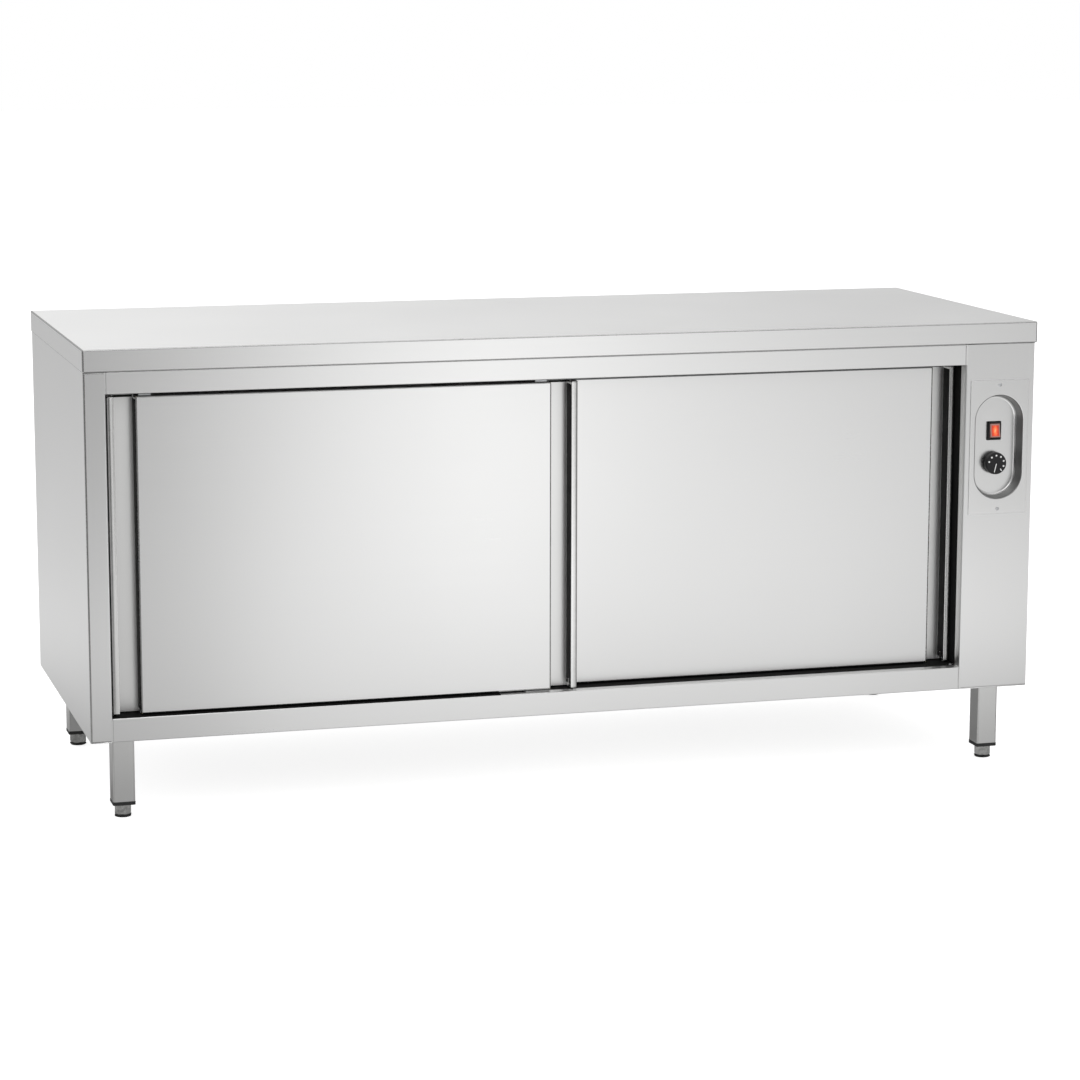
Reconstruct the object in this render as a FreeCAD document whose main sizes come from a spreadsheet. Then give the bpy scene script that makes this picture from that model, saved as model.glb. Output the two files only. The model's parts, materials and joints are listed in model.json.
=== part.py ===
import FreeCAD, Part
import math
import os
import re
import Sketcher

# Heated plate cabinet with two sliding doors, a control column and four screw feet.
# X runs to the right along the front, Y to the rear and Z up.
# The origin is on the floor, under the middle of the worktop.

# Driving dimensions in millimetres.
SIZES = {
    # overall
    "overall_width": 1800,
    "overall_depth": 700,
    "overall_height": 850,
    "ground_clearance": 150,
    # worktop pan
    "worktop_edge": 40,
    "worktop_sheet": 1.5,
    "worktop_return": 15,
    "worktop_bend": 2.5,
    "overhang_left": 1,
    "overhang_right": 4,
    "overhang_front": 2,
    "overhang_rear": 2,
    "worktop_stiffener_pitch": 560,
    "worktop_stiffener_crown": 40,
    "worktop_stiffener_flange": 18,
    "worktop_stiffener_end_gap": 1,
    # cabinet shell
    "panel_sheet": 1.2,
    "stile_width": 39,
    "column_width": 139,
    "top_rail_height": 39,
    "bottom_rail_height": 42.5,
    "rail_hem": 9,
    "rail_foot": 28,
    "door_zone": 86,
    "side_flange": 20,
    "base_flange": 16,
    "louvre_length": 90,
    "louvre_height": 4,
    "louvre_pitch": 14,
    "louvre_head_distance": 190,
    # chamber
    "rear_wall_thickness": 43,
    "chamber_flange": 20,
    "slot_width": 6,
    "slot_length": 110,
    "slot_pitch": 18,
    "outlet_edge_distance": 45,
    "outlet_bottom_distance": 105,
    # shelf
    "shelf_rise": 275.5,
    "shelf_sheet": 1.2,
    "shelf_edge": 30,
    "shelf_edge_return": 10,
    "shelf_side_gap": 2,
    "shelf_front_distance": 14,
    "shelf_rear_gap": 3,
    "shelf_support_leg": 25,
    "shelf_support_sheet": 1.5,
    "shelf_support_setback": 25,
    "shelf_stiffener_crown": 40,
    "shelf_stiffener_height": 20,
    "shelf_stiffener_flange": 15,
    # sliding doors
    "door_set_back": 13,
    "door_thickness": 31,
    "track_pitch": 33.5,
    "door_overlap": 103.5,
    "left_door_gap": 3.5,
    "right_door_gap": 1,
    "door_floor_gap": 3,
    "door_head_gap": 6,
    "door_sheet": 1,
    "grip_lip": 12,
    "left_grip_width": 38,
    "right_grip_width": 34,
    "grip_depth": 29,
    "groove_width": 8,
    "groove_height": 14,
    "groove_wall": 1.2,
    # door hangers, rollers and track
    "track_channel_width": 32,
    "track_wall": 1.5,
    "track_slot": 9,
    "track_end_gap": 0.5,
    "hanger_inset": 68,
    "hanger_length": 22,
    "hanger_plate": 4,
    "hanger_base": 3,
    "hanger_base_width": 16,
    "hanger_head": 8,
    "roller_radius": 12,
    "roller_tread": 7,
    "roller_side_gap": 1,
    "roller_rim": 1.5,
    "rolling_gap": 0.3,
    "axle_radius": 3,
    "axle_overhang": 1.5,
    "running_gap": 0.05,
    # centre floor guide and rail screws
    "guide_length": 46,
    "guide_shift": 22,
    "guide_base": 1.5,
    "guide_base_width": 62,
    "guide_tongue": 6,
    "guide_tongue_height": 10,
    "rail_screw_radius": 3.5,
    "rail_screw_height": 1.6,
    "rail_screw_inset": 6,
    # control dish
    "dish_plate_width": 118,
    "dish_plate_height": 255,
    "dish_head_distance": 196,
    "dish_side_margin": 11.5,
    "dish_end_margin": 29.5,
    "dish_sheet": 1.2,
    "dish_depth": 25,
    "dish_draft": 9,
    "dish_cutout_gap": 1,
    "dish_screw_inset": 9.5,
    "dish_screw_radius": 3.5,
    "dish_screw_head": 0.75,
    "dish_screw_shank": 1.5,
    "dish_screw_length": 8,
    # rocker switch
    "switch_rise": 28,
    "bezel_width": 29,
    "bezel_height": 36,
    "bezel_thickness": 2,
    "collar_width": 25,
    "collar_height": 32,
    "collar_rise": 5,
    "switch_body_depth": 22,
    "switch_body_shrink": 0.75,
    "switch_well_depth": 12,
    "switch_pin_depth": 5,
    "rocker_width": 20,
    "rocker_height": 26,
    "rocker_side_gap": 0.5,
    "rocker_swing_gap": 1.5,
    "rocker_front": 7,
    "rocker_back": 4,
    "rocker_hollow": 1.5,
    "rocker_tilt": 10,
    "rocker_pin_radius": 1.5,
    "rocker_pin_grip": 1,
    # thermostat
    "knob_drop": 33,
    "knob_radius": 22.25,
    "knob_height": 17,
    "knob_face_radius": 20,
    "knob_chamfer_height": 3,
    "knob_gap": 0.5,
    "knob_bore_depth": 12,
    "knob_wall": 2.5,
    "shaft_radius": 3,
    "shaft_hole_gap": 1,
    "shaft_grip": 8,
    "thermostat_width": 42,
    "thermostat_height": 36,
    "thermostat_depth": 30,
    # heater and fan
    "duct_depth": 50,
    "duct_sheet": 1,
    "duct_front_distance": 112,
    "duct_rear_distance": 15,
    "duct_floor_distance": 60,
    "duct_head_distance": 50,
    "impeller_radius": 72,
    "impeller_width": 28,
    "impeller_plate": 2,
    "impeller_hub_radius": 12,
    "impeller_partition_gap": 8,
    "blade_length": 22,
    "blade_tip_gap": 1,
    "blade_thickness": 1.2,
    "fan_shaft_radius": 4,
    "fan_shaft_grip": 20,
    "fan_shaft_hole_gap": 2,
    "motor_radius": 42,
    "motor_length": 55,
    "heater_ring_radius": 96,
    "heater_tube_radius": 4.25,
    "heater_wall_distance": 22,
    "heater_gap_angle": 24,
    "heater_terminal_radius": 5.2,
    "heater_terminal_out": 14,
    # terminal block and cable gland
    "terminal_length": 70,
    "terminal_width": 26,
    "terminal_height": 24,
    "terminal_rear_distance": 60,
    "terminal_hole_radius": 4,
    "terminal_hole_pitch": 15,
    "terminal_hole_depth": 12,
    "gland_bore_radius": 5,
    "gland_thread_radius": 8,
    "gland_nut_across": 24,
    "gland_dome_radius": 11,
    "gland_nut_height": 9,
    "gland_dome_height": 9,
    "gland_inner_height": 12,
    "gland_rear_distance": 140,
    # legs and feet
    "leg_side": 40,
    "leg_wall": 1.5,
    "leg_side_inset": 44,
    "leg_front_inset": 43,
    "leg_plate_side": 46,
    "leg_plate_thickness": 4,
    "foot_height": 23.5,
    "cap_flange": 6.5,
    "cap_overlap": 0.5,
    "cap_plug": 25,
    "cap_fit_gap": 0.2,
    "thread_radius": 5,
    "spindle_reach": 40,
    "foot_across": 28,
    "foot_cap_gap": 0.3,
    "pad_height": 5,
    "pad_overlap": 0.5,
    # reach of a cutting tool beyond the metal that it cuts
    "overrun": 3,
}

# Places and sizes that follow from the driving dimensions.
DERIVED = {
    "body_left": "-overall_width / 2 + overhang_left",
    "body_right": "overall_width / 2 - overhang_right",
    "body_front": "-overall_depth / 2 + overhang_front",
    "body_rear": "overall_depth / 2 - overhang_rear",
    "body_bottom": "ground_clearance",
    "body_top": "overall_height - worktop_edge",
    "opening_left": "body_left + stile_width",
    "opening_right": "body_right - column_width",
    "opening_top": "body_top - top_rail_height",
    "opening_bottom": "body_bottom + bottom_rail_height",
    "chamber_front": "body_front + door_zone",
    "chamber_rear": "body_rear - rear_wall_thickness",
    "left_wall_back": "opening_left - panel_sheet",
    "right_wall_back": "opening_right + panel_sheet",
    "column_centre": "(opening_right + body_right) / 2",
    "shelf_level": "opening_bottom + shelf_rise",
    # doors
    "door_width": "(opening_right - opening_left + door_overlap - left_door_gap - right_door_gap) / 2",
    "door_bottom": "opening_bottom + door_floor_gap",
    "door_top": "opening_top - door_head_gap",
    "left_door_start": "opening_left + left_door_gap",
    "right_door_start": "opening_right - right_door_gap - door_width",
    "left_door_face": "body_front + door_set_back",
    "right_door_face": "left_door_face + track_pitch",
    "track_bottom": "opening_top + rail_lift",
    "rail_lift": "track_wall + panel_sheet",
    "track_head": "body_top - panel_sheet",
    "track_bed": "track_bottom + track_wall",
    "axle_level": "track_bed + rolling_gap + roller_radius",
    "guide_centre": "(opening_left + opening_right) / 2 - guide_shift",
    # control dish
    "dish_level": "body_top - dish_head_distance",
    "dish_width": "dish_plate_width - 2 * dish_side_margin",
    "dish_height": "dish_plate_height - 2 * dish_end_margin",
    "dish_screw_rise": "dish_plate_height / 2 - dish_screw_inset",
    "switch_level": "dish_level + switch_rise",
    "knob_level": "dish_level - knob_drop",
    "dish_floor": "body_front - dish_sheet + dish_depth",
    "dish_back": "dish_floor + dish_sheet",
    "switch_face": "dish_floor - bezel_thickness - collar_rise",
    "rocker_pivot": "switch_face + switch_pin_depth",
    # fan
    "duct_front": "chamber_front + duct_front_distance",
    "duct_rear": "chamber_rear - duct_rear_distance",
    "duct_bottom": "opening_bottom + duct_floor_distance",
    "duct_top": "opening_top - duct_head_distance",
    "duct_right": "right_wall_back + duct_depth",
    "fan_y": "(duct_front + duct_rear) / 2",
    "fan_z": "(duct_bottom + duct_top) / 2",
    "impeller_start": "right_wall_back + impeller_partition_gap",
    # legs
    "leg_x": "overall_width / 2 - leg_side_inset - leg_side / 2",
    "leg_y": "overall_depth / 2 - leg_front_inset - leg_side / 2",
    "leg_bottom": "foot_height + cap_flange",
}

# Two heights closer than this count as one.
NEAR = 0.001

doc = FreeCAD.newDocument("plate_warmer_cabinet")
sheet = doc.addObject("Spreadsheet::Sheet", "Sizes")
for row, (alias, value) in enumerate(SIZES.items(), start=1):
    sheet.set("A%d" % row, alias)
    sheet.set("B%d" % row, str(value))
    sheet.setAlias("B%d" % row, alias)
doc.recompute()

nodes = []


def expand(text):
    """Write an expression on sheet cells from the words in SIZES and DERIVED."""

    def swap(match):
        word = match.group(0)
        if word in DERIVED:
            return "(" + expand(DERIVED[word]) + ")"
        if word in SIZES:
            return "Sizes." + word
        return word

    return re.sub(r"[A-Za-z_]\w*", swap, str(text))


def bind(feature, **formulas):
    """Bind properties to the sheet. A double underscore stands for a dot."""
    for name, text in formulas.items():
        feature.setExpression(name.replace("__", "."), expand(text))
    return feature


def put(feature, x="0", y="0", z="0"):
    """Place a feature's own origin at a point."""
    return bind(feature, Placement__Base__x=x, Placement__Base__y=y, Placement__Base__z=z)


def keep(feature, label):
    """Make a finished feature one of the cabinet's nodes."""
    feature.Label = label
    nodes.append(feature)
    return feature


def block(name, x, y, z):
    """A box between three pairs of planes."""
    shape = doc.addObject("Part::Box", name)
    spans = ["(%s) - (%s)" % (high, low) for low, high in (x, y, z)]
    bind(shape, Length=spans[0], Width=spans[1], Height=spans[2])
    return put(shape, x[0], y[0], z[0])


TURNS = {
    "X": FreeCAD.Rotation(FreeCAD.Vector(0, 1, 0), 90),
    "Y": FreeCAD.Rotation(FreeCAD.Vector(1, 0, 0), -90),
    "Z": FreeCAD.Rotation(),
}


def turn_about_x(feature, angle):
    """Turn a feature about an X axis through its own origin by a bound angle."""
    feature.Placement.Rotation = FreeCAD.Rotation(FreeCAD.Vector(1, 0, 0), 1)
    return bind(feature, Placement__Rotation__Angle=angle)


def rod(name, axis, radius, length, x, y, z):
    """A cylinder that starts at a point and runs along +X, +Y or +Z."""
    shape = doc.addObject("Part::Cylinder", name)
    shape.Placement.Rotation = TURNS[axis]
    bind(shape, Radius=radius, Height=length)
    return put(shape, x, y, z)


def hexagon(name, across, height, x, y, z):
    """An upright six-sided prism of a given width across its flats."""
    shape = doc.addObject("Part::Prism", name)
    shape.Polygon = 6
    bind(shape, Circumradius="%s / 2 / cos(30)" % across, Height=height)
    return put(shape, x, y, z)


def union(name, parts):
    shape = doc.addObject("Part::MultiFuse", name)
    shape.Shapes = parts
    shape.Refine = True
    return shape


def group(name, parts):
    """Separate solids that share one node."""
    shape = doc.addObject("Part::Compound", name)
    shape.Links = parts
    return shape


def cut(name, base, *tools):
    shape = doc.addObject("Part::Cut", name)
    shape.Base = base
    shape.Tool = tools[0] if len(tools) == 1 else union(name + "_tools", list(tools))
    shape.Refine = True
    return shape


def origin_plane(body, role):
    return next(plane for plane in body.Origin.OriginFeatures if plane.Role == role)


def outline(body, name, role, points):
    """A closed sketch through points whose coordinates are expressions."""
    sketch = body.newObject("Sketcher::SketchObject", name)
    sketch.AttachmentSupport = [(origin_plane(body, role), "")]
    sketch.MapMode = "FlatFace"
    count = len(points)
    step = 2 * math.pi / count
    start = [FreeCAD.Vector(math.cos(step * i), math.sin(step * i), 0) for i in range(count)]
    for index in range(count):
        sketch.addGeometry(Part.LineSegment(start[index], start[(index + 1) % count]))
    for index in range(count):
        sketch.addConstraint(Sketcher.Constraint("Coincident", index, 2, (index + 1) % count, 1))
    for index, (across, up) in enumerate(points):
        for kind, text, first in (("DistanceX", across, start[index].x), ("DistanceY", up, start[index].y)):
            made = sketch.addConstraint(Sketcher.Constraint(kind, -1, 1, index, 1, first))
            sketch.setExpression("Constraints[%d]" % made, expand(text))
    return sketch


def extrusion(name, role, points, length, x="0", y="0", z="0"):
    """A body padded from an outline: along +Z on XY_Plane, +X on YZ_Plane, +Y on XZ_Plane."""
    body = doc.addObject("PartDesign::Body", name)
    sketch = outline(body, name + "_outline", role, points)
    pad = body.newObject("PartDesign::Pad", name + "_pad")
    pad.Profile = sketch
    pad.Reversed = role == "XZ_Plane"
    bind(pad, Length=length)
    return put(body, x, y, z)


STEPS = {"R": (1, 0), "U": (0, 1), "L": (-1, 0), "D": (0, -1)}


def folded(start, moves, thickness, side):
    """Outline of a folded sheet. The path is one face of the sheet; side +1 adds the metal on its left."""
    path = [start]
    for way, length in moves:
        across, up = STEPS[way]
        before = path[-1]
        path.append((
            "%s + %d * (%s)" % (before[0], across, length),
            "%s + %d * (%s)" % (before[1], up, length),
        ))
    normals = [(-STEPS[way][1] * side, STEPS[way][0] * side) for way, _ in moves]
    other = []
    for index, (across, up) in enumerate(path):
        near = {normals[max(index - 1, 0)], normals[min(index, len(moves) - 1)]}
        shift = (sum(n[0] for n in near), sum(n[1] for n in near))
        other.append((
            "%s + %d * %s" % (across, shift[0], thickness),
            "%s + %d * %s" % (up, shift[1], thickness),
        ))
    return path + other[::-1]


def fillet_edges(body, feature, radius, wanted):
    """Round the edges of a feature that a test picks."""
    doc.recompute()
    names = ["Edge%d" % (i + 1) for i, edge in enumerate(feature.Shape.Edges) if wanted(edge, feature.Shape)]
    rounded = body.newObject("PartDesign::Fillet", feature.Name + "_fillet")
    rounded.Base = (feature, names)
    bind(rounded, Radius=radius)
    return rounded


def is_upper_or_upright(edge, shape):
    upright = abs(edge.tangentAt(edge.FirstParameter).z) > 0.5
    return upright or abs(edge.BoundBox.ZMin - shape.BoundBox.ZMax) < NEAR


def obround(body, name, width, height, level):
    """A closed sketch of two half circles and two lines, upright in the XZ plane."""
    sketch = body.newObject("Sketcher::SketchObject", name)
    sketch.AttachmentSupport = [(origin_plane(body, "XZ_Plane"), "")]
    sketch.MapMode = "FlatFace"
    up = FreeCAD.Vector(0, 2, 0)
    down = FreeCAD.Vector(0, -2, 0)
    normal = FreeCAD.Vector(0, 0, 1)
    sketch.addGeometry(Part.ArcOfCircle(Part.Circle(up, normal, 1), 0, math.pi))
    sketch.addGeometry(Part.LineSegment(FreeCAD.Vector(-1, 2, 0), FreeCAD.Vector(-1, -2, 0)))
    sketch.addGeometry(Part.ArcOfCircle(Part.Circle(down, normal, 1), math.pi, 2 * math.pi))
    sketch.addGeometry(Part.LineSegment(FreeCAD.Vector(1, -2, 0), FreeCAD.Vector(1, 2, 0)))
    for first, first_end, second, second_end in ((0, 2, 1, 1), (1, 2, 2, 1), (2, 2, 3, 1), (3, 2, 0, 1)):
        sketch.addConstraint(Sketcher.Constraint("Tangent", first, first_end, second, second_end))
    sketch.addConstraint(Sketcher.Constraint("PointOnObject", 0, 3, -2))
    sketch.addConstraint(Sketcher.Constraint("PointOnObject", 2, 3, -2))
    sketch.addConstraint(Sketcher.Constraint("Vertical", 1))
    radius = sketch.addConstraint(Sketcher.Constraint("Radius", 0, 1))
    top = sketch.addConstraint(Sketcher.Constraint("DistanceY", -1, 1, 0, 3, 2))
    low = sketch.addConstraint(Sketcher.Constraint("DistanceY", -1, 1, 2, 3, -2))
    sketch.setExpression("Constraints[%d]" % radius, expand("(%s) / 2" % width))
    half = "((%s) - (%s)) / 2" % (height, width)
    sketch.setExpression("Constraints[%d]" % top, expand("%s + %s" % (level, half)))
    sketch.setExpression("Constraints[%d]" % low, expand("%s - %s" % (level, half)))
    return sketch


def mirror_path(moves):
    swap = {"R": "L", "L": "R", "U": "U", "D": "D"}
    return [(swap[way], length) for way, length in moves]


def worktop():
    """A pan with its sides folded down and a return round the underside."""
    half_x = "overall_width / 2"
    half_y = "overall_depth / 2"
    corners = [("-" + half_x, "-" + half_y), (half_x, "-" + half_y), (half_x, half_y), ("-" + half_x, half_y)]
    body = extrusion("worktop_body", "XY_Plane", corners, "worktop_edge", z="body_top")
    pad = body.Tip
    body.Tip = fillet_edges(body, pad, "worktop_bend", is_upper_or_upright)
    inside = block(
        "worktop_inside",
        ("-%s + worktop_sheet" % half_x, "%s - worktop_sheet" % half_x),
        ("-%s + worktop_sheet" % half_y, "%s - worktop_sheet" % half_y),
        ("body_top + worktop_sheet", "overall_height - worktop_sheet"),
    )
    mouth = block(
        "worktop_mouth",
        ("-%s + worktop_return" % half_x, "%s - worktop_return" % half_x),
        ("-%s + worktop_return" % half_y, "%s - worktop_return" % half_y),
        ("body_top - overrun", "body_top + overrun"),
    )
    keep(cut("worktop_pan", body, inside, mouth), "worktop")


def hat(name, role, crown, flange, height, sheet_name, centre, top, length, **place):
    """A hat-section channel with its crown up."""
    path = [
        ("%s - (%s) / 2 - %s" % (centre, crown, flange), "%s - (%s)" % (top, height)),
    ]
    moves = [("R", flange), ("U", height), ("R", crown), ("D", height), ("R", flange)]
    return extrusion(name, role, folded(path[0], moves, sheet_name, -1), length, **place)


def worktop_stiffeners():
    reach = "overall_depth - 2 * worktop_return - 2 * worktop_stiffener_end_gap"
    hats = []
    for index in (-1, 0, 1):
        hats.append(hat(
            "worktop_stiffener_%d" % (index + 2),
            "XZ_Plane",
            "worktop_stiffener_crown",
            "worktop_stiffener_flange",
            "worktop_edge - 2 * worktop_sheet",
            "worktop_sheet",
            "%d * worktop_stiffener_pitch" % index,
            "overall_height - worktop_sheet",
            reach,
            y="-(%s) / 2" % reach,
        ))
    keep(group("stiffener_group", hats), "worktop_stiffeners")


def dish_screw_holes(name, front):
    """Cutters for the two screws that hold the dish plate."""
    return [
        rod(
            "%s_screw_hole_%d" % (name, way + 2), "Y", "dish_screw_shank", "2 * overrun",
            "column_centre", front, "dish_level + %d * dish_screw_rise" % way,
        )
        for way in (-1, 1)
    ]


def side_panels():
    """Each side panel is one sheet that wraps to the front and to the rear."""
    height = "body_top - body_bottom"
    depth = "body_rear - panel_sheet - body_front"
    left = [("L", "stile_width"), ("U", depth), ("R", "side_flange")]
    keep(extrusion(
        "left_side",
        "XY_Plane",
        folded(("opening_left", "chamber_front"), [("D", "door_zone")] + left, "panel_sheet", -1),
        height,
        z="body_bottom",
    ), "left_side_panel")
    right = [("R", "column_width"), ("U", depth), ("L", "side_flange")]
    column = extrusion(
        "right_side",
        "XY_Plane",
        folded(("opening_right", "chamber_front"), [("D", "door_zone")] + right, "panel_sheet", 1),
        height,
        z="body_bottom",
    )
    window = doc.addObject("PartDesign::Body", "dish_window")
    sketch = obround(
        window,
        "dish_window_outline",
        "dish_width + 2 * dish_sheet + 2 * dish_cutout_gap",
        "dish_height + 2 * dish_sheet + 2 * dish_cutout_gap",
        "dish_level",
    )
    pad = window.newObject("PartDesign::Pad", "dish_window_pad")
    pad.Profile = sketch
    pad.Reversed = True
    bind(pad, Length="2 * overrun")
    put(window, x="column_centre", y="body_front - overrun")
    holes = dish_screw_holes("column", "body_front - overrun")
    keep(cut("right_side_cut", column, window, *holes), "right_side_panel")


def rear_panel():
    plate = block(
        "rear_plate",
        ("body_left + panel_sheet", "body_right - panel_sheet"),
        ("body_rear - panel_sheet", "body_rear"),
        ("body_bottom", "body_top"),
    )
    slots = []
    for index in range(8):
        low = "body_top - louvre_head_distance + %d * louvre_pitch" % index
        slots.append(block(
            "louvre_%d" % (index + 1),
            ("column_centre - louvre_length / 2", "column_centre + louvre_length / 2"),
            ("body_rear - overrun", "body_rear + overrun"),
            (low, low + " + louvre_height"),
        ))
    keep(cut("rear_plate_cut", plate, *slots), "rear_panel")


def base_panel():
    """A tray under the cabinet, open upwards, slit for the jambs and bored for the cable gland."""
    left = "body_left + panel_sheet"
    right = "body_right - panel_sheet"
    front = "body_front + rail_foot"
    rear = "body_rear - 2 * panel_sheet"
    tray = block("base_tray", (left, right), (front, rear), ("body_bottom", "body_bottom + base_flange"))
    hollow = block(
        "base_hollow",
        (left + " + panel_sheet", right + " - panel_sheet"),
        (front + " + panel_sheet", rear + " - panel_sheet"),
        ("body_bottom + panel_sheet", "body_bottom + base_flange + overrun"),
    )
    hole = rod(
        "gland_hole", "Z", "gland_thread_radius + running_gap", "2 * overrun",
        "column_centre", "body_rear - gland_rear_distance", "body_bottom - overrun",
    )
    slits = []
    for side, jamb in (
        ("left", ("left_wall_back", "opening_left")),
        ("right", ("opening_right", "right_wall_back")),
    ):
        slits.append(block(
            "base_slit_" + side,
            jamb,
            (front + " - overrun", "chamber_front"),
            ("body_bottom - overrun", "body_bottom + base_flange + overrun"),
        ))
    keep(cut("base_tray_cut", tray, hollow, hole, *slits), "base_panel")


def rails():
    span = "opening_right - opening_left"
    top = [
        ("L", "rail_hem"),
        ("U", "top_rail_height"),
        ("R", "door_zone"),
    ]
    keep(extrusion(
        "top_rail_fold",
        "YZ_Plane",
        folded(("body_front + rail_hem", "opening_top"), top, "panel_sheet", -1),
        span,
        x="opening_left",
    ), "top_rail")
    bottom = [
        ("L", "rail_foot"),
        ("U", "bottom_rail_height"),
        ("R", "door_zone"),
        ("D", "rail_hem"),
    ]
    keep(extrusion(
        "bottom_rail_fold",
        "YZ_Plane",
        folded(("body_front + rail_foot", "body_bottom"), bottom, "panel_sheet", -1),
        span,
        x="opening_left",
    ), "bottom_rail")


def chamber():
    """The inner walls. Each stands behind the door zone."""
    front = "chamber_front"
    rear = "chamber_rear"
    keep(block(
        "chamber_left_plate",
        ("left_wall_back", "opening_left"), (front, rear), ("opening_bottom", "opening_top"),
    ), "chamber_left_wall")
    partition = block(
        "chamber_right_plate",
        ("opening_right", "right_wall_back"), (front, rear), ("opening_bottom", "opening_top"),
    )
    slots = []
    wall = ("opening_right - overrun", "right_wall_back + overrun")
    for index in range(6):
        y = "fan_y + %s * slot_pitch" % (index - 2.5)
        slots.append(block(
            "intake_%d" % (index + 1),
            wall,
            (y + " - slot_width / 2", y + " + slot_width / 2"),
            ("fan_z - slot_length / 2", "fan_z + slot_length / 2"),
        ))
    for edge, sign in (("front", "+"), ("rear", "-")):
        for index in range(3):
            y = "duct_%s %s (outlet_edge_distance + %d * slot_pitch)" % (edge, sign, index)
            slots.append(block(
                "outlet_%s_%d" % (edge, index + 1),
                wall,
                (y + " - slot_width / 2", y + " + slot_width / 2"),
                ("duct_bottom + outlet_bottom_distance", "duct_top - outlet_bottom_distance"),
            ))
    keep(cut("chamber_right_cut", partition, *slots), "chamber_right_wall")
    keep(block(
        "chamber_back_plate",
        ("left_wall_back", "right_wall_back"),
        (rear, rear + " + panel_sheet"),
        ("opening_bottom - panel_sheet", "opening_top + panel_sheet"),
    ), "chamber_back_wall")
    span = "right_wall_back - left_wall_back"
    depth = "chamber_rear - chamber_front"
    ceiling = [("R", depth)]
    ceiling_path = folded(
        (front, "body_top - panel_sheet"),
        [("D", "top_rail_height - panel_sheet")] + ceiling,
        "panel_sheet",
        1,
    )
    keep(extrusion("ceiling_fold", "YZ_Plane", ceiling_path, span, x="left_wall_back"), "chamber_ceiling")
    floor_path = folded(
        (front, "opening_bottom - chamber_flange"),
        [("U", "chamber_flange"), ("R", depth)],
        "panel_sheet",
        -1,
    )
    keep(extrusion("floor_fold", "YZ_Plane", floor_path, span, x="left_wall_back"), "chamber_floor")


def insulation():
    """Boards that fill the space between the inner and the outer walls."""
    left = block(
        "insulation_left",
        ("body_left + panel_sheet", "left_wall_back"),
        ("chamber_front", "body_rear - 2 * panel_sheet"),
        ("body_bottom + base_flange", "body_top - panel_sheet"),
    )
    rear = block(
        "insulation_rear",
        ("left_wall_back", "right_wall_back"),
        ("chamber_rear + panel_sheet", "body_rear - 2 * panel_sheet"),
        ("body_bottom + base_flange", "body_top - panel_sheet"),
    )
    top = block(
        "insulation_top",
        ("left_wall_back", "right_wall_back"),
        ("chamber_front + panel_sheet", "chamber_rear"),
        ("opening_top + panel_sheet", "body_top - panel_sheet"),
    )
    bottom = block(
        "insulation_bottom",
        ("left_wall_back", "right_wall_back"),
        ("chamber_front + panel_sheet", "chamber_rear"),
        ("body_bottom + base_flange", "opening_bottom - panel_sheet"),
    )
    keep(group("insulation_group", [left, rear, top, bottom]), "insulation_boards")


def shelf():
    front = "chamber_front + shelf_front_distance"
    rear = "chamber_rear - shelf_rear_gap"
    left = "opening_left + shelf_side_gap"
    right = "opening_right - shelf_side_gap"
    path = [
        ("U", "shelf_edge"),
        ("R", "%s - (%s)" % (rear, front)),
        ("D", "shelf_edge"),
        ("L", "shelf_edge_return"),
    ]
    outer = folded(
        ("%s + shelf_edge_return" % front, "shelf_level - shelf_edge"),
        [("L", "shelf_edge_return")] + path,
        "shelf_sheet",
        -1,
    )
    keep(extrusion("shelf_fold", "YZ_Plane", outer, "%s - (%s)" % (right, left), x=left), "middle_shelf")
    keep(hat(
        "shelf_hat",
        "YZ_Plane",
        "shelf_stiffener_crown",
        "shelf_stiffener_flange",
        "shelf_stiffener_height",
        "shelf_sheet",
        "(%s + %s) / 2" % (front, rear),
        "shelf_level - shelf_sheet",
        "%s - (%s) - 2 * shelf_support_leg - 2 * shelf_side_gap" % (right, left),
        x="%s + shelf_support_leg + shelf_side_gap" % left,
    ), "shelf_stiffener")
    reach = "%s - (%s) - 2 * shelf_support_setback" % (rear, front)
    top = "shelf_level - shelf_sheet"
    angles = []
    for name, wall, way, side in (("left", "opening_left", "R", 1), ("right", "opening_right", "L", -1)):
        angle = folded(
            (wall, "%s - shelf_support_leg" % top),
            [("U", "shelf_support_leg"), (way, "shelf_support_leg")],
            "shelf_support_sheet",
            -side,
        )
        angles.append(extrusion(
            "shelf_support_" + name, "XZ_Plane", angle, reach, y="%s + shelf_support_setback" % front,
        ))
    keep(group("shelf_support_group", angles), "shelf_supports")


def door_track():
    """Two open-bottomed channels under the top rail, one for each door."""
    solids = []
    for side in ("left", "right"):
        middle = "%s_door_face + door_thickness / 2" % side
        half = "track_channel_width / 2"
        lip = "%s - track_slot / 2" % half
        height = "track_head - track_bottom"
        path = folded(
            ("%s - track_slot / 2" % middle, "track_bottom"),
            [("L", lip), ("U", height), ("R", "track_channel_width"), ("D", height), ("L", lip)],
            "track_wall",
            -1,
        )
        solids.append(extrusion(
            "track_" + side,
            "YZ_Plane",
            path,
            "opening_right - opening_left - 2 * track_end_gap",
            x="opening_left + track_end_gap",
        ))
    keep(group("track_group", solids), "upper_door_track")


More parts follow.
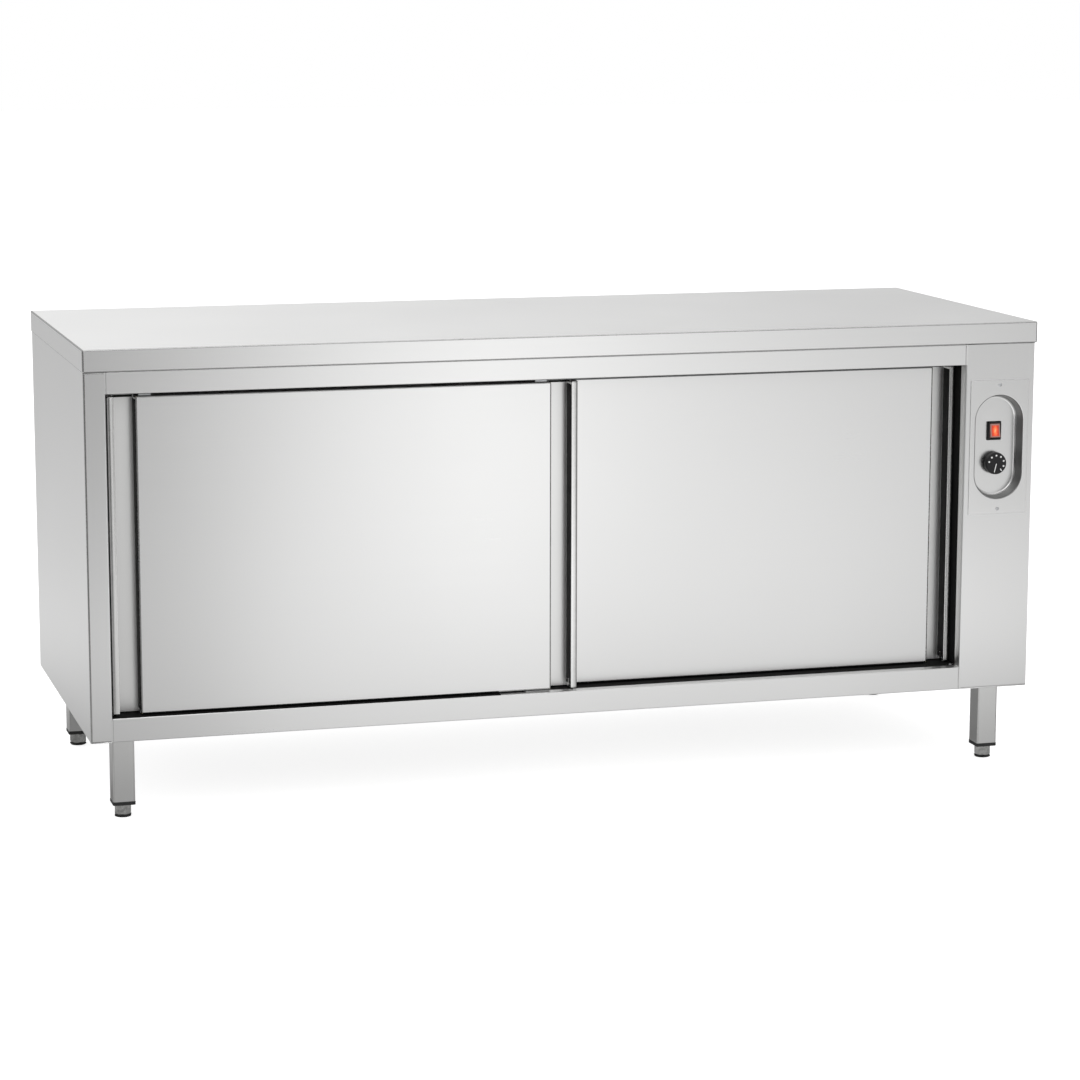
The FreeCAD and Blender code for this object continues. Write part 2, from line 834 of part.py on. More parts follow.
def floor_guide():
    """A plate on the bottom rail with a tongue that reaches into each door's groove."""
    x = ("guide_centre - guide_length / 2", "guide_centre + guide_length / 2")
    middle = "(left_door_face + right_door_face + door_thickness) / 2"
    parts = [block(
        "guide_plate",
        x,
        (middle + " - guide_base_width / 2", middle + " + guide_base_width / 2"),
        ("opening_bottom", "opening_bottom + guide_base"),
    )]
    for side in ("left", "right"):
        centre = "%s_door_face + door_thickness / 2" % side
        parts.append(block(
            "guide_tongue_" + side,
            x,
            (centre + " - guide_tongue / 2", centre + " + guide_tongue / 2"),
            ("opening_bottom", "door_bottom + guide_tongue_height"),
        ))
    keep(union("guide_union", parts), "lower_door_guide")
    heads = []
    for index, (edge, way) in enumerate((("opening_left", 1), ("opening_right", -1))):
        for side in ("left", "right"):
            heads.append(rod(
                "rail_screw_%d_%s" % (index + 1, side),
                "Z",
                "rail_screw_radius",
                "rail_screw_height",
                "%s + %d * rail_screw_inset" % (edge, way),
                "%s_door_face + door_thickness / 2" % side,
                "opening_bottom",
            ))
    keep(group("rail_screw_group", heads), "rail_screws")


def door(side):
    """One double-walled sliding door with its grips, hangers and rollers."""
    prefix = side + "_door"
    start = prefix + "_start"
    end = start + " + door_width"
    face = prefix + "_face"
    back = face + " + door_thickness"
    middle = face + " + door_thickness / 2"
    skin_back = back + " - door_sheet"
    grip_width = side + "_grip_width"
    panel = (start + " + grip_lip + " + grip_width, end + " - grip_lip - " + grip_width)
    z = ("door_bottom", "door_top")

    def groove(name):
        return block(
            "%s_%s" % (prefix, name),
            (start + " - overrun", end + " + overrun"),
            (middle + " - groove_width / 2 - groove_wall", middle + " + groove_width / 2 + groove_wall"),
            ("door_bottom - overrun", "door_bottom + groove_height + groove_wall"),
        )

    tray = block(prefix + "_tray", panel, (face, skin_back), z)
    hollow = block(
        prefix + "_hollow",
        (panel[0] + " + door_sheet", panel[1] + " - door_sheet"),
        (face + " + door_sheet", back),
        ("door_bottom + door_sheet", "door_top - door_sheet"),
    )
    keep(cut(prefix + "_tray_cut", tray, hollow, groove("tray_groove")),
         prefix + "_front_skin")
    keep(block(prefix + "_back", (start, end), (skin_back, back), z), prefix + "_back_skin")
    core = block(
        prefix + "_core_block",
        (panel[0] + " + door_sheet", panel[1] + " - door_sheet"),
        (face + " + door_sheet", skin_back),
        ("door_bottom + door_sheet", "door_top - door_sheet"),
    )
    keep(cut(prefix + "_core_cut", core, groove("core_groove")),
         prefix + "_core")
    inner = folded(
        (middle + " - groove_width / 2", "door_bottom"),
        [("U", "groove_height"), ("R", "groove_width"), ("D", "groove_height")],
        "groove_wall",
        1,
    )
    keep(extrusion(
        prefix + "_channel",
        "YZ_Plane",
        inner,
        "%s - (%s)" % (panel[1], panel[0]),
        x=panel[0],
    ), prefix + "_groove_channel")
    moves = [
        ("R", grip_width),
        ("D", "grip_depth"),
        ("R", "grip_lip"),
        ("U", "door_thickness - door_sheet"),
    ]
    grips = []
    for name, edge, path, metal in (
        ("right", panel[1], moves, 1),
        ("left", panel[0], mirror_path(moves), -1),
    ):
        grip = extrusion(
            "%s_grip_%s" % (prefix, name),
            "XY_Plane",
            folded((edge, face + " + grip_depth"), path, "door_sheet", metal),
            "door_top - door_bottom",
            z="door_bottom",
        )
        slot = groove("grip_groove_" + name)
        grips.append(cut("%s_grip_cut_%s" % (prefix, name), grip, slot))
    keep(group(prefix + "_grip_group", grips), prefix + "_grip_channels")
    hangers = []
    for name, place in (("left", start + " + hanger_inset"), ("right", end + " - hanger_inset")):
        x = (place + " - hanger_length / 2", place + " + hanger_length / 2")
        foot = block(
            "%s_hanger_foot_%s" % (prefix, name),
            x,
            (middle + " - hanger_base_width / 2", middle + " + hanger_base_width / 2"),
            ("door_top", "door_top + hanger_base"),
        )
        web = block(
            "%s_hanger_web_%s" % (prefix, name),
            x,
            (middle + " - hanger_plate / 2", middle + " + hanger_plate / 2"),
            ("door_top", "axle_level + hanger_head"),
        )
        bore = rod(
            "%s_hanger_bore_%s" % (prefix, name),
            "Y",
            "axle_radius + running_gap",
            "hanger_plate + 2 * overrun",
            place,
            middle + " - hanger_plate / 2 - overrun",
            "axle_level",
        )
        solid = union("%s_hanger_union_%s" % (prefix, name), [foot, web])
        hangers.append(cut("%s_hanger_cut_%s" % (prefix, name), solid, bore))
        roller(prefix + "_" + name, place, middle)
    keep(group(prefix + "_hanger_group", hangers), prefix + "_hangers")


def roller(name, x, middle):
    """Two wheels pinned to one axle, one on each side of the hanger."""
    inner = "hanger_plate / 2 + roller_side_gap"
    outer = inner + " + roller_tread"
    parts = [rod(
        name + "_axle",
        "Y",
        "axle_radius",
        "2 * (%s + axle_overhang)" % outer,
        x,
        "%s - (%s + axle_overhang)" % (middle, outer),
        "axle_level",
    )]
    for way in (-1, 1):
        wheel = doc.addObject("PartDesign::Body", "%s_wheel_%d" % (name, way + 2))
        section = [
            ("0", inner),
            ("roller_radius - roller_rim", inner),
            ("roller_radius", inner + " + roller_rim"),
            ("roller_radius", outer + " - roller_rim"),
            ("roller_radius - roller_rim", outer),
            ("0", outer),
        ]
        sketch = outline(wheel, "%s_wheel_outline_%d" % (name, way + 2), "XY_Plane",
                         [(a, "%d * (%s)" % (way, b)) for a, b in section])
        turned = wheel.newObject("PartDesign::Revolution", "%s_wheel_turned_%d" % (name, way + 2))
        turned.Profile = sketch
        turned.ReferenceAxis = (sketch, ["V_Axis"])
        turned.Angle = 360
        parts.append(put(wheel, x, middle, "axle_level"))
    keep(union(name + "_roller_union", parts), name + "_roller")


def control_dish():
    """A flat plate with a sunk obround dish, pressed from one sheet."""
    front = "body_front - dish_sheet"
    plate = block(
        "dish_plate",
        ("column_centre - dish_plate_width / 2", "column_centre + dish_plate_width / 2"),
        (front, "body_front"),
        ("dish_level - dish_plate_height / 2", "dish_level + dish_plate_height / 2"),
    )

    def bowl(name, wall, length):
        body = doc.addObject("PartDesign::Body", name)
        width = "dish_width + 2 * " + wall
        height = "dish_height + 2 * " + wall
        pad = body.newObject("PartDesign::Pad", name + "_pad")
        pad.Profile = obround(body, name + "_outline", width, height, "dish_level")
        pad.Reversed = True
        bind(pad, Length=length, TaperAngle="-dish_draft")
        return put(body, x="column_centre", y=front)

    outer = bowl("dish_outer", "dish_sheet", "dish_depth + dish_sheet")
    inner = bowl("dish_inner", "0", "dish_depth")
    switch_hole = block(
        "switch_hole",
        ("column_centre - collar_width / 2", "column_centre + collar_width / 2"),
        ("dish_floor - overrun", "dish_back + overrun"),
        ("switch_level - collar_height / 2", "switch_level + collar_height / 2"),
    )
    shaft_hole = rod(
        "shaft_hole", "Y", "shaft_radius + shaft_hole_gap", "2 * overrun",
        "column_centre", "dish_floor - overrun / 2", "knob_level",
    )
    holes = dish_screw_holes("dish", front + " - overrun")
    pressed = union("dish_pressed", [plate, outer])
    keep(cut("dish_cut", pressed, inner, switch_hole, shaft_hole, *holes), "control_dish")
    screws = []
    for name, way in (("lower", -1), ("upper", 1)):
        level = "dish_level + %d * dish_screw_rise" % way
        head = rod(
            "dish_screw_head_" + name, "Y", "dish_screw_radius", "dish_screw_head",
            "column_centre", front + " - dish_screw_head", level,
        )
        shank = rod(
            "dish_screw_shank_" + name, "Y", "dish_screw_shank - running_gap", "dish_screw_length",
            "column_centre", front + " - dish_screw_head / 2", level,
        )
        screws.append(union("dish_screw_" + name, [head, shank]))
    keep(group("dish_screw_group", screws), "dish_screws")


def rocker_switch():
    bezel = block(
        "switch_bezel",
        ("column_centre - bezel_width / 2", "column_centre + bezel_width / 2"),
        ("dish_floor - bezel_thickness", "dish_floor"),
        ("switch_level - bezel_height / 2", "switch_level + bezel_height / 2"),
    )
    collar = block(
        "switch_collar",
        ("column_centre - collar_width / 2", "column_centre + collar_width / 2"),
        ("switch_face", "dish_back"),
        ("switch_level - collar_height / 2", "switch_level + collar_height / 2"),
    )
    half_x = "(collar_width / 2 - switch_body_shrink)"
    half_z = "(collar_height / 2 - switch_body_shrink)"
    rear = block(
        "switch_rear",
        ("column_centre - " + half_x, "column_centre + " + half_x),
        ("dish_floor", "dish_floor + switch_body_depth"),
        ("switch_level - " + half_z, "switch_level + " + half_z),
    )
    well = block(
        "switch_well",
        (
            "column_centre - rocker_width / 2 - rocker_side_gap",
            "column_centre + rocker_width / 2 + rocker_side_gap",
        ),
        ("switch_face - overrun", "switch_face + switch_well_depth"),
        (
            "switch_level - rocker_height / 2 - rocker_swing_gap",
            "switch_level + rocker_height / 2 + rocker_swing_gap",
        ),
    )
    pin_length = "rocker_width + 2 * rocker_side_gap + 2 * rocker_pin_grip"
    pin_holes = rod(
        "switch_pin_holes", "X", "rocker_pin_radius + running_gap",
        pin_length + " + 2 * running_gap",
        "column_centre - (%s) / 2 - running_gap" % pin_length, "rocker_pivot", "switch_level",
    )
    housing = union("switch_union", [bezel, collar, rear])
    keep(cut("switch_cut", housing, well, pin_holes), "switch_housing")
    # The rocker's section is drawn about its pivot and tilted with its upper end pressed in.
    half = "rocker_height / 2"
    rocker_face = extrusion(
        "rocker_body",
        "YZ_Plane",
        [
            ("-rocker_front", "-" + half),
            ("-rocker_front + rocker_hollow", "0"),
            ("-rocker_front", half),
            ("0", half),
            ("rocker_back", "0"),
            ("0", "-" + half),
        ],
        "rocker_width",
        x="-rocker_width / 2",
    )
    pin = rod("rocker_pin", "X", "rocker_pin_radius", pin_length, "-(%s) / 2" % pin_length, "0", "0")
    rocker = union("rocker_union", [rocker_face, pin])
    turn_about_x(rocker, "-rocker_tilt")
    keep(put(rocker, "column_centre", "rocker_pivot", "switch_level"), "switch_rocker")


def thermostat():
    knob_back = "dish_floor - knob_gap"
    knob_front = knob_back + " - knob_height"
    knob = doc.addObject("PartDesign::Body", "knob_body")
    section = [
        ("0", "-knob_height"),
        ("knob_face_radius", "-knob_height"),
        ("knob_radius", "-knob_height + knob_chamfer_height"),
        ("knob_radius", "0"),
        ("knob_radius - knob_wall", "0"),
        ("knob_radius - knob_wall", "-knob_height + knob_chamfer_height + knob_wall"),
        ("shaft_radius + knob_wall", "-knob_height + knob_chamfer_height + knob_wall"),
        ("shaft_radius + knob_wall", "0"),
        ("shaft_radius + running_gap", "0"),
        ("shaft_radius + running_gap", "-knob_bore_depth"),
        ("0", "-knob_bore_depth"),
    ]
    sketch = outline(knob, "knob_outline", "XY_Plane", section)
    turned = knob.newObject("PartDesign::Revolution", "knob_turned")
    turned.Profile = sketch
    turned.ReferenceAxis = (sketch, ["V_Axis"])
    turned.Angle = 360
    keep(put(knob, "column_centre", knob_back, "knob_level"), "thermostat_knob")
    keep(rod(
        "thermostat_shaft_rod", "Y", "shaft_radius",
        "knob_bore_depth + knob_gap + dish_sheet + shaft_grip",
        "column_centre", knob_back + " - knob_bore_depth", "knob_level",
    ), "thermostat_shaft")
    case = block(
        "thermostat_case",
        ("column_centre - thermostat_width / 2", "column_centre + thermostat_width / 2"),
        ("dish_back", "dish_back + thermostat_depth"),
        ("knob_level - thermostat_height / 2", "knob_level + thermostat_height / 2"),
    )
    bore = rod(
        "thermostat_bore", "Y", "shaft_radius + running_gap", "shaft_grip + knob_gap + dish_sheet",
        "column_centre", "dish_back - dish_sheet", "knob_level",
    )
    keep(cut("thermostat_cut", case, bore), "thermostat")


def fan():
    """Air duct on the partition with the fan and the ring heater in it."""
    y = ("duct_front", "duct_rear")
    z = ("duct_bottom", "duct_top")
    shell = block("duct_shell", ("right_wall_back", "duct_right"), y, z)
    hollow = block(
        "duct_hollow",
        ("right_wall_back - overrun", "duct_right - duct_sheet"),
        ("duct_front + duct_sheet", "duct_rear - duct_sheet"),
        ("duct_bottom + duct_sheet", "duct_top - duct_sheet"),
    )
    through = ("2 * overrun", "duct_right - overrun")
    shaft_hole = rod(
        "duct_shaft_hole", "X", "fan_shaft_radius + fan_shaft_hole_gap", through[0],
        through[1], "fan_y", "fan_z",
    )
    heater_x = "right_wall_back + heater_wall_distance"
    terminal_holes = []
    terminals = []
    for name, way in (("front", -1), ("rear", 1)):
        terminal_y = "fan_y + %d * heater_ring_radius * sin(heater_gap_angle / 2)" % way
        terminal_z = "fan_z + heater_ring_radius * cos(heater_gap_angle / 2)"
        terminals.append(rod(
            "heater_terminal_" + name, "X", "heater_terminal_radius",
            "duct_right - (%s) + heater_terminal_radius + heater_terminal_out" % heater_x,
            heater_x + " - heater_terminal_radius", terminal_y, terminal_z,
        ))
        terminal_holes.append(rod(
            "duct_terminal_hole_" + name, "X", "heater_terminal_radius + running_gap", through[0],
            through[1], terminal_y, terminal_z,
        ))
    keep(cut("duct_cut", shell, hollow, shaft_hole, *terminal_holes), "air_duct")
    # The ring lies in the YZ plane with its gap at the top.
    ring = doc.addObject("Part::Torus", "heater_ring")
    bind(
        ring,
        Radius1="heater_ring_radius",
        Radius2="heater_tube_radius",
        Angle3="360 - heater_gap_angle",
    )
    ring.Placement.Rotation = FreeCAD.Rotation(
        FreeCAD.Vector(0, 1, 0), FreeCAD.Vector(0, 0, 1), FreeCAD.Vector(1, 0, 0), "ZXY"
    )
    turned_ring = turn_about_x(group("heater_ring_turned", [ring]), "90 + heater_gap_angle / 2")
    put(turned_ring, heater_x, "fan_y", "fan_z")
    keep(union("heater_union", [turned_ring] + terminals), "heating_element")
    motor_can = rod("motor_can", "X", "motor_radius", "motor_length", "duct_right", "fan_y", "fan_z")
    motor_bore = rod(
        "motor_bore", "X", "fan_shaft_radius + running_gap", "fan_shaft_grip + fan_shaft_hole_gap",
        "duct_right", "fan_y", "fan_z",
    )
    keep(cut("motor_cut", motor_can, motor_bore), "fan_motor")


def impeller():
    """A centrifugal wheel: back plate, hub and shaft turned in one piece, and a ring of blades."""
    wheel = doc.addObject("PartDesign::Body", "impeller_body")
    wheel.Placement.Rotation = FreeCAD.Rotation(FreeCAD.Vector(0, 0, 1), -90)
    plate = "impeller_width - impeller_plate"
    shaft_end = "duct_depth - impeller_partition_gap + fan_shaft_grip"
    sketch = outline(wheel, "impeller_outline", "XY_Plane", [
        ("0", "impeller_width / 2"),
        ("impeller_hub_radius", "impeller_width / 2"),
        ("impeller_hub_radius", plate),
        ("impeller_radius", plate),
        ("impeller_radius", "impeller_width"),
        ("fan_shaft_radius", "impeller_width"),
        ("fan_shaft_radius", shaft_end),
        ("0", shaft_end),
    ])
    hub = wheel.newObject("PartDesign::Revolution", "impeller_hub")
    hub.Profile = sketch
    hub.ReferenceAxis = (sketch, ["V_Axis"])
    hub.Angle = 360
    blade = wheel.newObject("PartDesign::Pad", "impeller_blade")
    blade.Profile = outline(wheel, "blade_outline", "XY_Plane", [
        ("impeller_radius - blade_length", "0"),
        ("impeller_radius - blade_tip_gap", "0"),
        ("impeller_radius - blade_tip_gap", plate + " + impeller_plate / 2"),
        ("impeller_radius - blade_length", plate + " + impeller_plate / 2"),
    ])
    blade.Midplane = True
    bind(blade, Length="blade_thickness")
    doc.recompute()
    pattern = wheel.newObject("PartDesign::PolarPattern", "impeller_blades")
    pattern.Originals = [blade]
    pattern.Axis = (sketch, ["V_Axis"])
    pattern.Angle = 360
    pattern.Occurrences = 24
    wheel.Tip = pattern
    keep(put(wheel, "impeller_start", "fan_y", "fan_z"), "fan_impeller")


def terminal_block():
    x = ("column_centre - terminal_length / 2", "column_centre + terminal_length / 2")
    low = "body_bottom + panel_sheet"
    rear = "body_rear - gland_rear_distance - terminal_rear_distance"
    case = block("terminal_case", x, (rear + " - terminal_width", rear), (low, low + " + terminal_height"))
    holes = []
    for index in range(4):
        holes.append(rod(
            "terminal_hole_%d" % (index + 1), "Z", "terminal_hole_radius", "terminal_hole_depth + overrun",
            "column_centre + %s * terminal_hole_pitch" % (index - 1.5),
            rear + " - terminal_width / 2",
            low + " + terminal_height - terminal_hole_depth",
        ))
    keep(cut("terminal_cut", case, *holes), "terminal_block")


def cable_gland():
    x = "column_centre"
    y = "body_rear - gland_rear_distance"
    nut_bottom = "body_bottom - gland_nut_height"
    nut = hexagon("gland_nut", "gland_nut_across", "gland_nut_height", x, y, nut_bottom)
    dome = doc.addObject("Part::Cone", "gland_dome")
    bind(
        dome,
        Radius1="gland_thread_radius",
        Radius2="gland_dome_radius",
        Height="gland_dome_height",
    )
    put(dome, x, y, nut_bottom + " - gland_dome_height")
    thread = rod("gland_thread", "Z", "gland_thread_radius", "panel_sheet + gland_inner_height", x, y, "body_bottom")
    inner_nut = hexagon(
        "gland_inner_nut", "gland_nut_across", "gland_inner_height / 2", x, y, "body_bottom + panel_sheet",
    )
    bore = rod(
        "gland_bore", "Z", "gland_bore_radius",
        "gland_dome_height + gland_nut_height + panel_sheet + gland_inner_height + 2 * overrun",
        x, y, nut_bottom + " - gland_dome_height - overrun",
    )
    keep(cut("gland_cut", union("gland_union", [nut, dome, thread, inner_nut]), bore), "cable_gland")


CORNERS = (
    ("front_left", -1, -1),
    ("front_right", 1, -1),
    ("rear_left", -1, 1),
    ("rear_right", 1, 1),
)


def legs_and_feet():
    tubes = []
    plates = []
    caps = []
    for name, across, along in CORNERS:
        x = "%d * leg_x" % across
        y = "%d * leg_y" % along

        def square(label, half, low, high):
            return block(
                "%s_%s" % (name, label),
                ("%s - (%s)" % (x, half), "%s + (%s)" % (x, half)),
                ("%s - (%s)" % (y, half), "%s + (%s)" % (y, half)),
                (low, high),
            )

        tube = square("tube", "leg_side / 2", "leg_bottom", "body_bottom")
        bore = square("tube_bore", "leg_side / 2 - leg_wall", "leg_bottom - overrun", "body_bottom + overrun")
        tubes.append(cut(name + "_tube_cut", tube, bore))
        plates.append(square(
            "plate", "leg_plate_side / 2", "body_bottom + panel_sheet",
            "body_bottom + panel_sheet + leg_plate_thickness",
        ))
        flange = square("cap_flange", "leg_side / 2 + cap_overlap", "foot_height", "leg_bottom")
        plug = square(
            "cap_plug", "leg_side / 2 - leg_wall - cap_fit_gap", "foot_height", "leg_bottom + cap_plug",
        )
        thread = rod(
            name + "_cap_thread", "Z", "thread_radius", "cap_flange + cap_plug + 2 * overrun",
            x, y, "foot_height - overrun",
        )
        caps.append(cut(name + "_cap_cut", union(name + "_cap_union", [flange, plug]), thread))
        shell = hexagon(name + "_foot_nut", "foot_across", "foot_height - foot_cap_gap - pad_height", x, y, "pad_height")
        spindle = rod(
            name + "_spindle", "Z", "thread_radius - running_gap",
            "leg_bottom + cap_plug + spindle_reach - pad_height", x, y, "pad_height",
        )
        keep(union(name + "_foot_union", [shell, spindle]), name + "_foot")
        keep(hexagon(name + "_pad_prism", "(foot_across + 2 * pad_overlap)", "pad_height", x, y, "0"),
             name + "_foot_pad")
    keep(group("leg_group", tubes), "legs")
    keep(group("leg_plate_group", plates), "leg_plates")
    keep(group("leg_cap_group", caps), "leg_caps")


def check_objects():
    """Stop before writing if any object failed."""
    doc.recompute()
    for item in doc.Objects:
        bad = [state for state in item.State if state in ("Invalid", "Error")]
        if bad:
            raise RuntimeError("%s is %s" % (item.Name, bad))
    labels = [node.Label for node in nodes]
    if len(set(labels)) != len(labels) or len(labels) > 60:
        raise RuntimeError("node names are doubled or too many")
    for node in nodes:
        if node.Shape.isNull() or not node.Shape.isValid() or not node.Shape.Solids:
            raise RuntimeError(node.Label + " has no valid solid")


worktop()
worktop_stiffeners()
side_panels()
rear_panel()
base_panel()
rails()
chamber()
insulation()
shelf()
door_track()
floor_guide()
door("left")
door("right")
control_dish()
rocker_switch()
thermostat()
fan()
impeller()
terminal_block()
cable_gland()
legs_and_feet()
check_objects()
os.makedirs("parts", exist_ok=True)
for node in nodes:
    node.Shape.exportStep("parts/%s.step" % node.Label)
print("%d nodes written" % len(nodes))
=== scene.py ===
import json
import math
import bmesh
import bpy
from mathutils import Matrix, Vector


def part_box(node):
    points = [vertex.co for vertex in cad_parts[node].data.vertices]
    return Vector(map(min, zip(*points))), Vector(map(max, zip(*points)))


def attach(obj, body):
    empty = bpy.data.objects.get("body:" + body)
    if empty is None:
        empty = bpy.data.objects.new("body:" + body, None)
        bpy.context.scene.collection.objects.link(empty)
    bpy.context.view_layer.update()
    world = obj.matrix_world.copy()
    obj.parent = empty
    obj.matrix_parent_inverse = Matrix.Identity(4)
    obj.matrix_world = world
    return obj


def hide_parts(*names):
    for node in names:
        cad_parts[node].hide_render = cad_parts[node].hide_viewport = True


# Heated plate cabinet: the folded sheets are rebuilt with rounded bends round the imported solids.
# Lengths are in metres. X runs to the right along the front, Y to the rear and Z up.

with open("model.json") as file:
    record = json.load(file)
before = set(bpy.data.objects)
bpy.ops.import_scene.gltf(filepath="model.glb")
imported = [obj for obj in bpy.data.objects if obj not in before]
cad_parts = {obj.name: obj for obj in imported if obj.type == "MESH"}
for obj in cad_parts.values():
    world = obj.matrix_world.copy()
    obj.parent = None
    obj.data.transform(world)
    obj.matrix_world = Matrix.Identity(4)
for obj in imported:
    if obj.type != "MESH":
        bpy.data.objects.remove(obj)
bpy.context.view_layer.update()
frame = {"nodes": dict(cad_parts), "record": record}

MM = 0.001
AXES = {"X": Vector((1, 0, 0)), "Y": Vector((0, 1, 0)), "Z": Vector((0, 0, 1))}
BODY_OF = {node: body for body, nodes in frame["record"]["behaviour"]["bodies"].items() for node in nodes}
SLOT_OF = {part["node"]: part["material_slot"] for part in frame["record"]["subparts"]}


# ---- shader helpers ----

NOISE_ROUGHNESS = 0.55
NOISE_MIDDLE = (0.3, 0.7)
FINE_GRAIN = (2600, 4, 1)
BROAD_GRAIN = (300, 0.6, 1)
BROAD_STREAK = (0.99, 0.99, 0.99)
LENS_HEAT = (
    (0.0, (1.0, 0.60, 0.28)), (0.30, (1.0, 0.24, 0.07)), (0.65, (0.55, 0.06, 0.02)), (1.0, (0.22, 0.02, 0.012)),
)
LENS_SKIN = (0.55, 0.05, 0.02)
LENS_BORDER = (0.42, 0.23, 0.20)


def feed(tree, socket, value):
    """Links an output to a socket or sets the socket to a constant; a colour needs no alpha."""
    if isinstance(value, bpy.types.NodeSocket):
        tree.links.new(value, socket)
    elif socket.type == "RGBA":
        socket.default_value = (*value, 1)
    else:
        socket.default_value = value


def add(tree, kind, sockets=None, **settings):
    """A shader node; sockets gives its inputs by name or number, and settings its properties."""
    node = tree.nodes.new("ShaderNode" + kind)
    for key, value in settings.items():
        setattr(node, key, value)
    for key, value in (sockets or {}).items():
        feed(tree, node.inputs[key], value)
    return node


def new_material(name):
    material = bpy.data.materials.new(name)
    material.use_nodes = True
    tree = material.node_tree
    tree.nodes.clear()
    shader = add(tree, "BsdfPrincipled")
    add(tree, "OutputMaterial", {"Surface": shader.outputs["BSDF"]})
    return material, tree, shader


def calc(tree, operation, *values):
    return add(tree, "Math", dict(enumerate(values)), operation=operation).outputs["Value"]


def vector_calc(tree, operation, *values, output="Vector"):
    return add(tree, "VectorMath", dict(enumerate(values)), operation=operation).outputs[output]


def ranged(tree, value, start, end, low=0.0, high=1.0, smooth=False):
    """Maps start to end onto low to high, and no further."""
    return add(tree, "MapRange", {
        "Value": value, "From Min": start, "From Max": end, "To Min": low, "To Max": high,
    }, interpolation_type="SMOOTHSTEP" if smooth else "LINEAR").outputs["Result"]


def blend(tree, factor, low, high, how="MIX"):
    return add(tree, "Mix", {0: factor, 6: low, 7: high}, data_type="RGBA", blend_type=how).outputs[2]


def ramp(tree, factor, stops, interpolation="LINEAR"):
    """A colour ramp with (position, colour) stops."""
    node = add(tree, "ValToRGB", {"Fac": factor})
    node.color_ramp.interpolation = interpolation
    elements = node.color_ramp.elements
    while len(elements) < len(stops):
        elements.new(0.5)
    for element, (position, colour) in zip(elements, stops):
        element.position = position
        element.color = (*colour, 1)
    return node.outputs["Color"]


def noise(tree, vector, scale, detail):
    sockets = {"Vector": vector, "Scale": scale, "Detail": detail, "Roughness": NOISE_ROUGHNESS}
    return add(tree, "TexNoise", sockets).outputs["Fac"]


def spread(tree, value, low, high):
    """Maps the middle of a noise onto a range."""
    return ranged(tree, value, *NOISE_MIDDLE, low, high)


def face_mark(tree, name):
    return add(tree, "Attribute", attribute_name=name, attribute_type="GEOMETRY").outputs["Fac"]


def tinted(colour, factor):
    return tuple(min(1.0, c * factor) for c in colour)


def surface(tree, shader, height, strength, distance, **sockets):
    """Feeds the shader a bump and its other inputs, whose names have an underscore for each space."""
    bump = add(tree, "Bump", {"Strength": strength, "Distance": distance, "Height": height})
    feed(tree, shader.inputs["Normal"], bump.outputs["Normal"])
    for name, value in sockets.items():
        feed(tree, shader.inputs[name.replace("_", " ")], value)


def brushed(name, colour, rough, grain_depth=0.3, aniso=0.55, cloud=0.02, matt=0.0, shade=1.0, edge_shade_factor=0.8):
    """Steel with a fine grain along the V direction of the grain map.

    Marked recess faces are rougher and take a painted tone set by shade, which is painted shade where it is below
    1. Marked folds and rolled edges are a little smoother and darkened, with a mottle, towards a set fraction of
    the colour: painted shade that stands in for the shade in the bends and holds back their highlight.
    """
    material, tree, shader = new_material(name)
    uv = add(tree, "UVMap", uv_map="grain").outputs["UV"]
    place = add(tree, "TexCoord").outputs["Object"]
    fine, broad = (
        noise(tree, add(tree, "Mapping", {"Vector": uv, "Scale": scale}).outputs["Vector"], 1.0, 2.0)
        for scale in (FINE_GRAIN, BROAD_GRAIN)
    )
    haze = noise(tree, place, 2.2, 3.0)
    shade_mottle = noise(tree, place, 60.0, 2.0)
    edge_shade = face_mark(tree, "edge_shade")
    # Painted shade on the marked folds and edges, mottled a little by noise.
    edge_shading = calc(tree, "MULTIPLY", edge_shade, spread(tree, shade_mottle, 0.85, 1.0))
    tint = blend(tree, haze, tinted(colour, 1 - cloud), tinted(colour, 1 + cloud))
    tone = blend(tree, 1.0, tint, blend(tree, broad, BROAD_STREAK, (1.0, 1.0, 1.0)), "MULTIPLY")
    tone = blend(tree, edge_shading, tone, tinted(colour, edge_shade_factor))
    base = spread(tree, broad, rough - 0.008, rough + 0.008)
    total = calc(tree, "ADD", base, spread(tree, haze, -0.012, 0.015))
    roughness = calc(tree, "MULTIPLY_ADD", edge_shading, -0.025, total)
    # Painted tone on the marked recess faces: they are rougher, and their colour is scaled by shade (much darker
    # dish walls as painted shade, slightly lighter grip floors).
    if matt:
        shaded_recess = face_mark(tree, "matt")
        roughness = calc(tree, "MULTIPLY_ADD", shaded_recess, matt, roughness)
        tone = blend(tree, shaded_recess, tone, tinted(colour, shade))
    calm = ranged(tree, edge_shade, 0.0, 1.0, grain_depth, grain_depth * 0.25)
    tangent = add(tree, "Tangent", direction_type="UV_MAP", uv_map="grain").outputs["Tangent"]
    surface(tree, shader, fine, calm, 0.00002, Base_Color=tone, Roughness=roughness, Tangent=tangent,
            Metallic=1.0, Anisotropic=aniso)
    return material


def moulded(name, colour, rough, grain=900.0, depth=0.25, metallic=0.0, cloud=0.15, specular=0.5, patch=14.0):
    """Plastic, rubber, paint or plated steel with a fine surface grain."""
    material, tree, shader = new_material(name)
    place = add(tree, "TexCoord").outputs["Object"]
    haze = noise(tree, place, patch, 3.0)
    tint = blend(tree, haze, tinted(colour, 1 - cloud), tinted(colour, 1 + cloud))
    gloss = spread(tree, haze, rough - 0.04, rough + 0.04)
    surface(tree, shader, noise(tree, place, grain, 3.0), depth, 0.0001, Base_Color=tint, Roughness=gloss,
            Metallic=metallic, Specular_IOR_Level=specular)
    return material


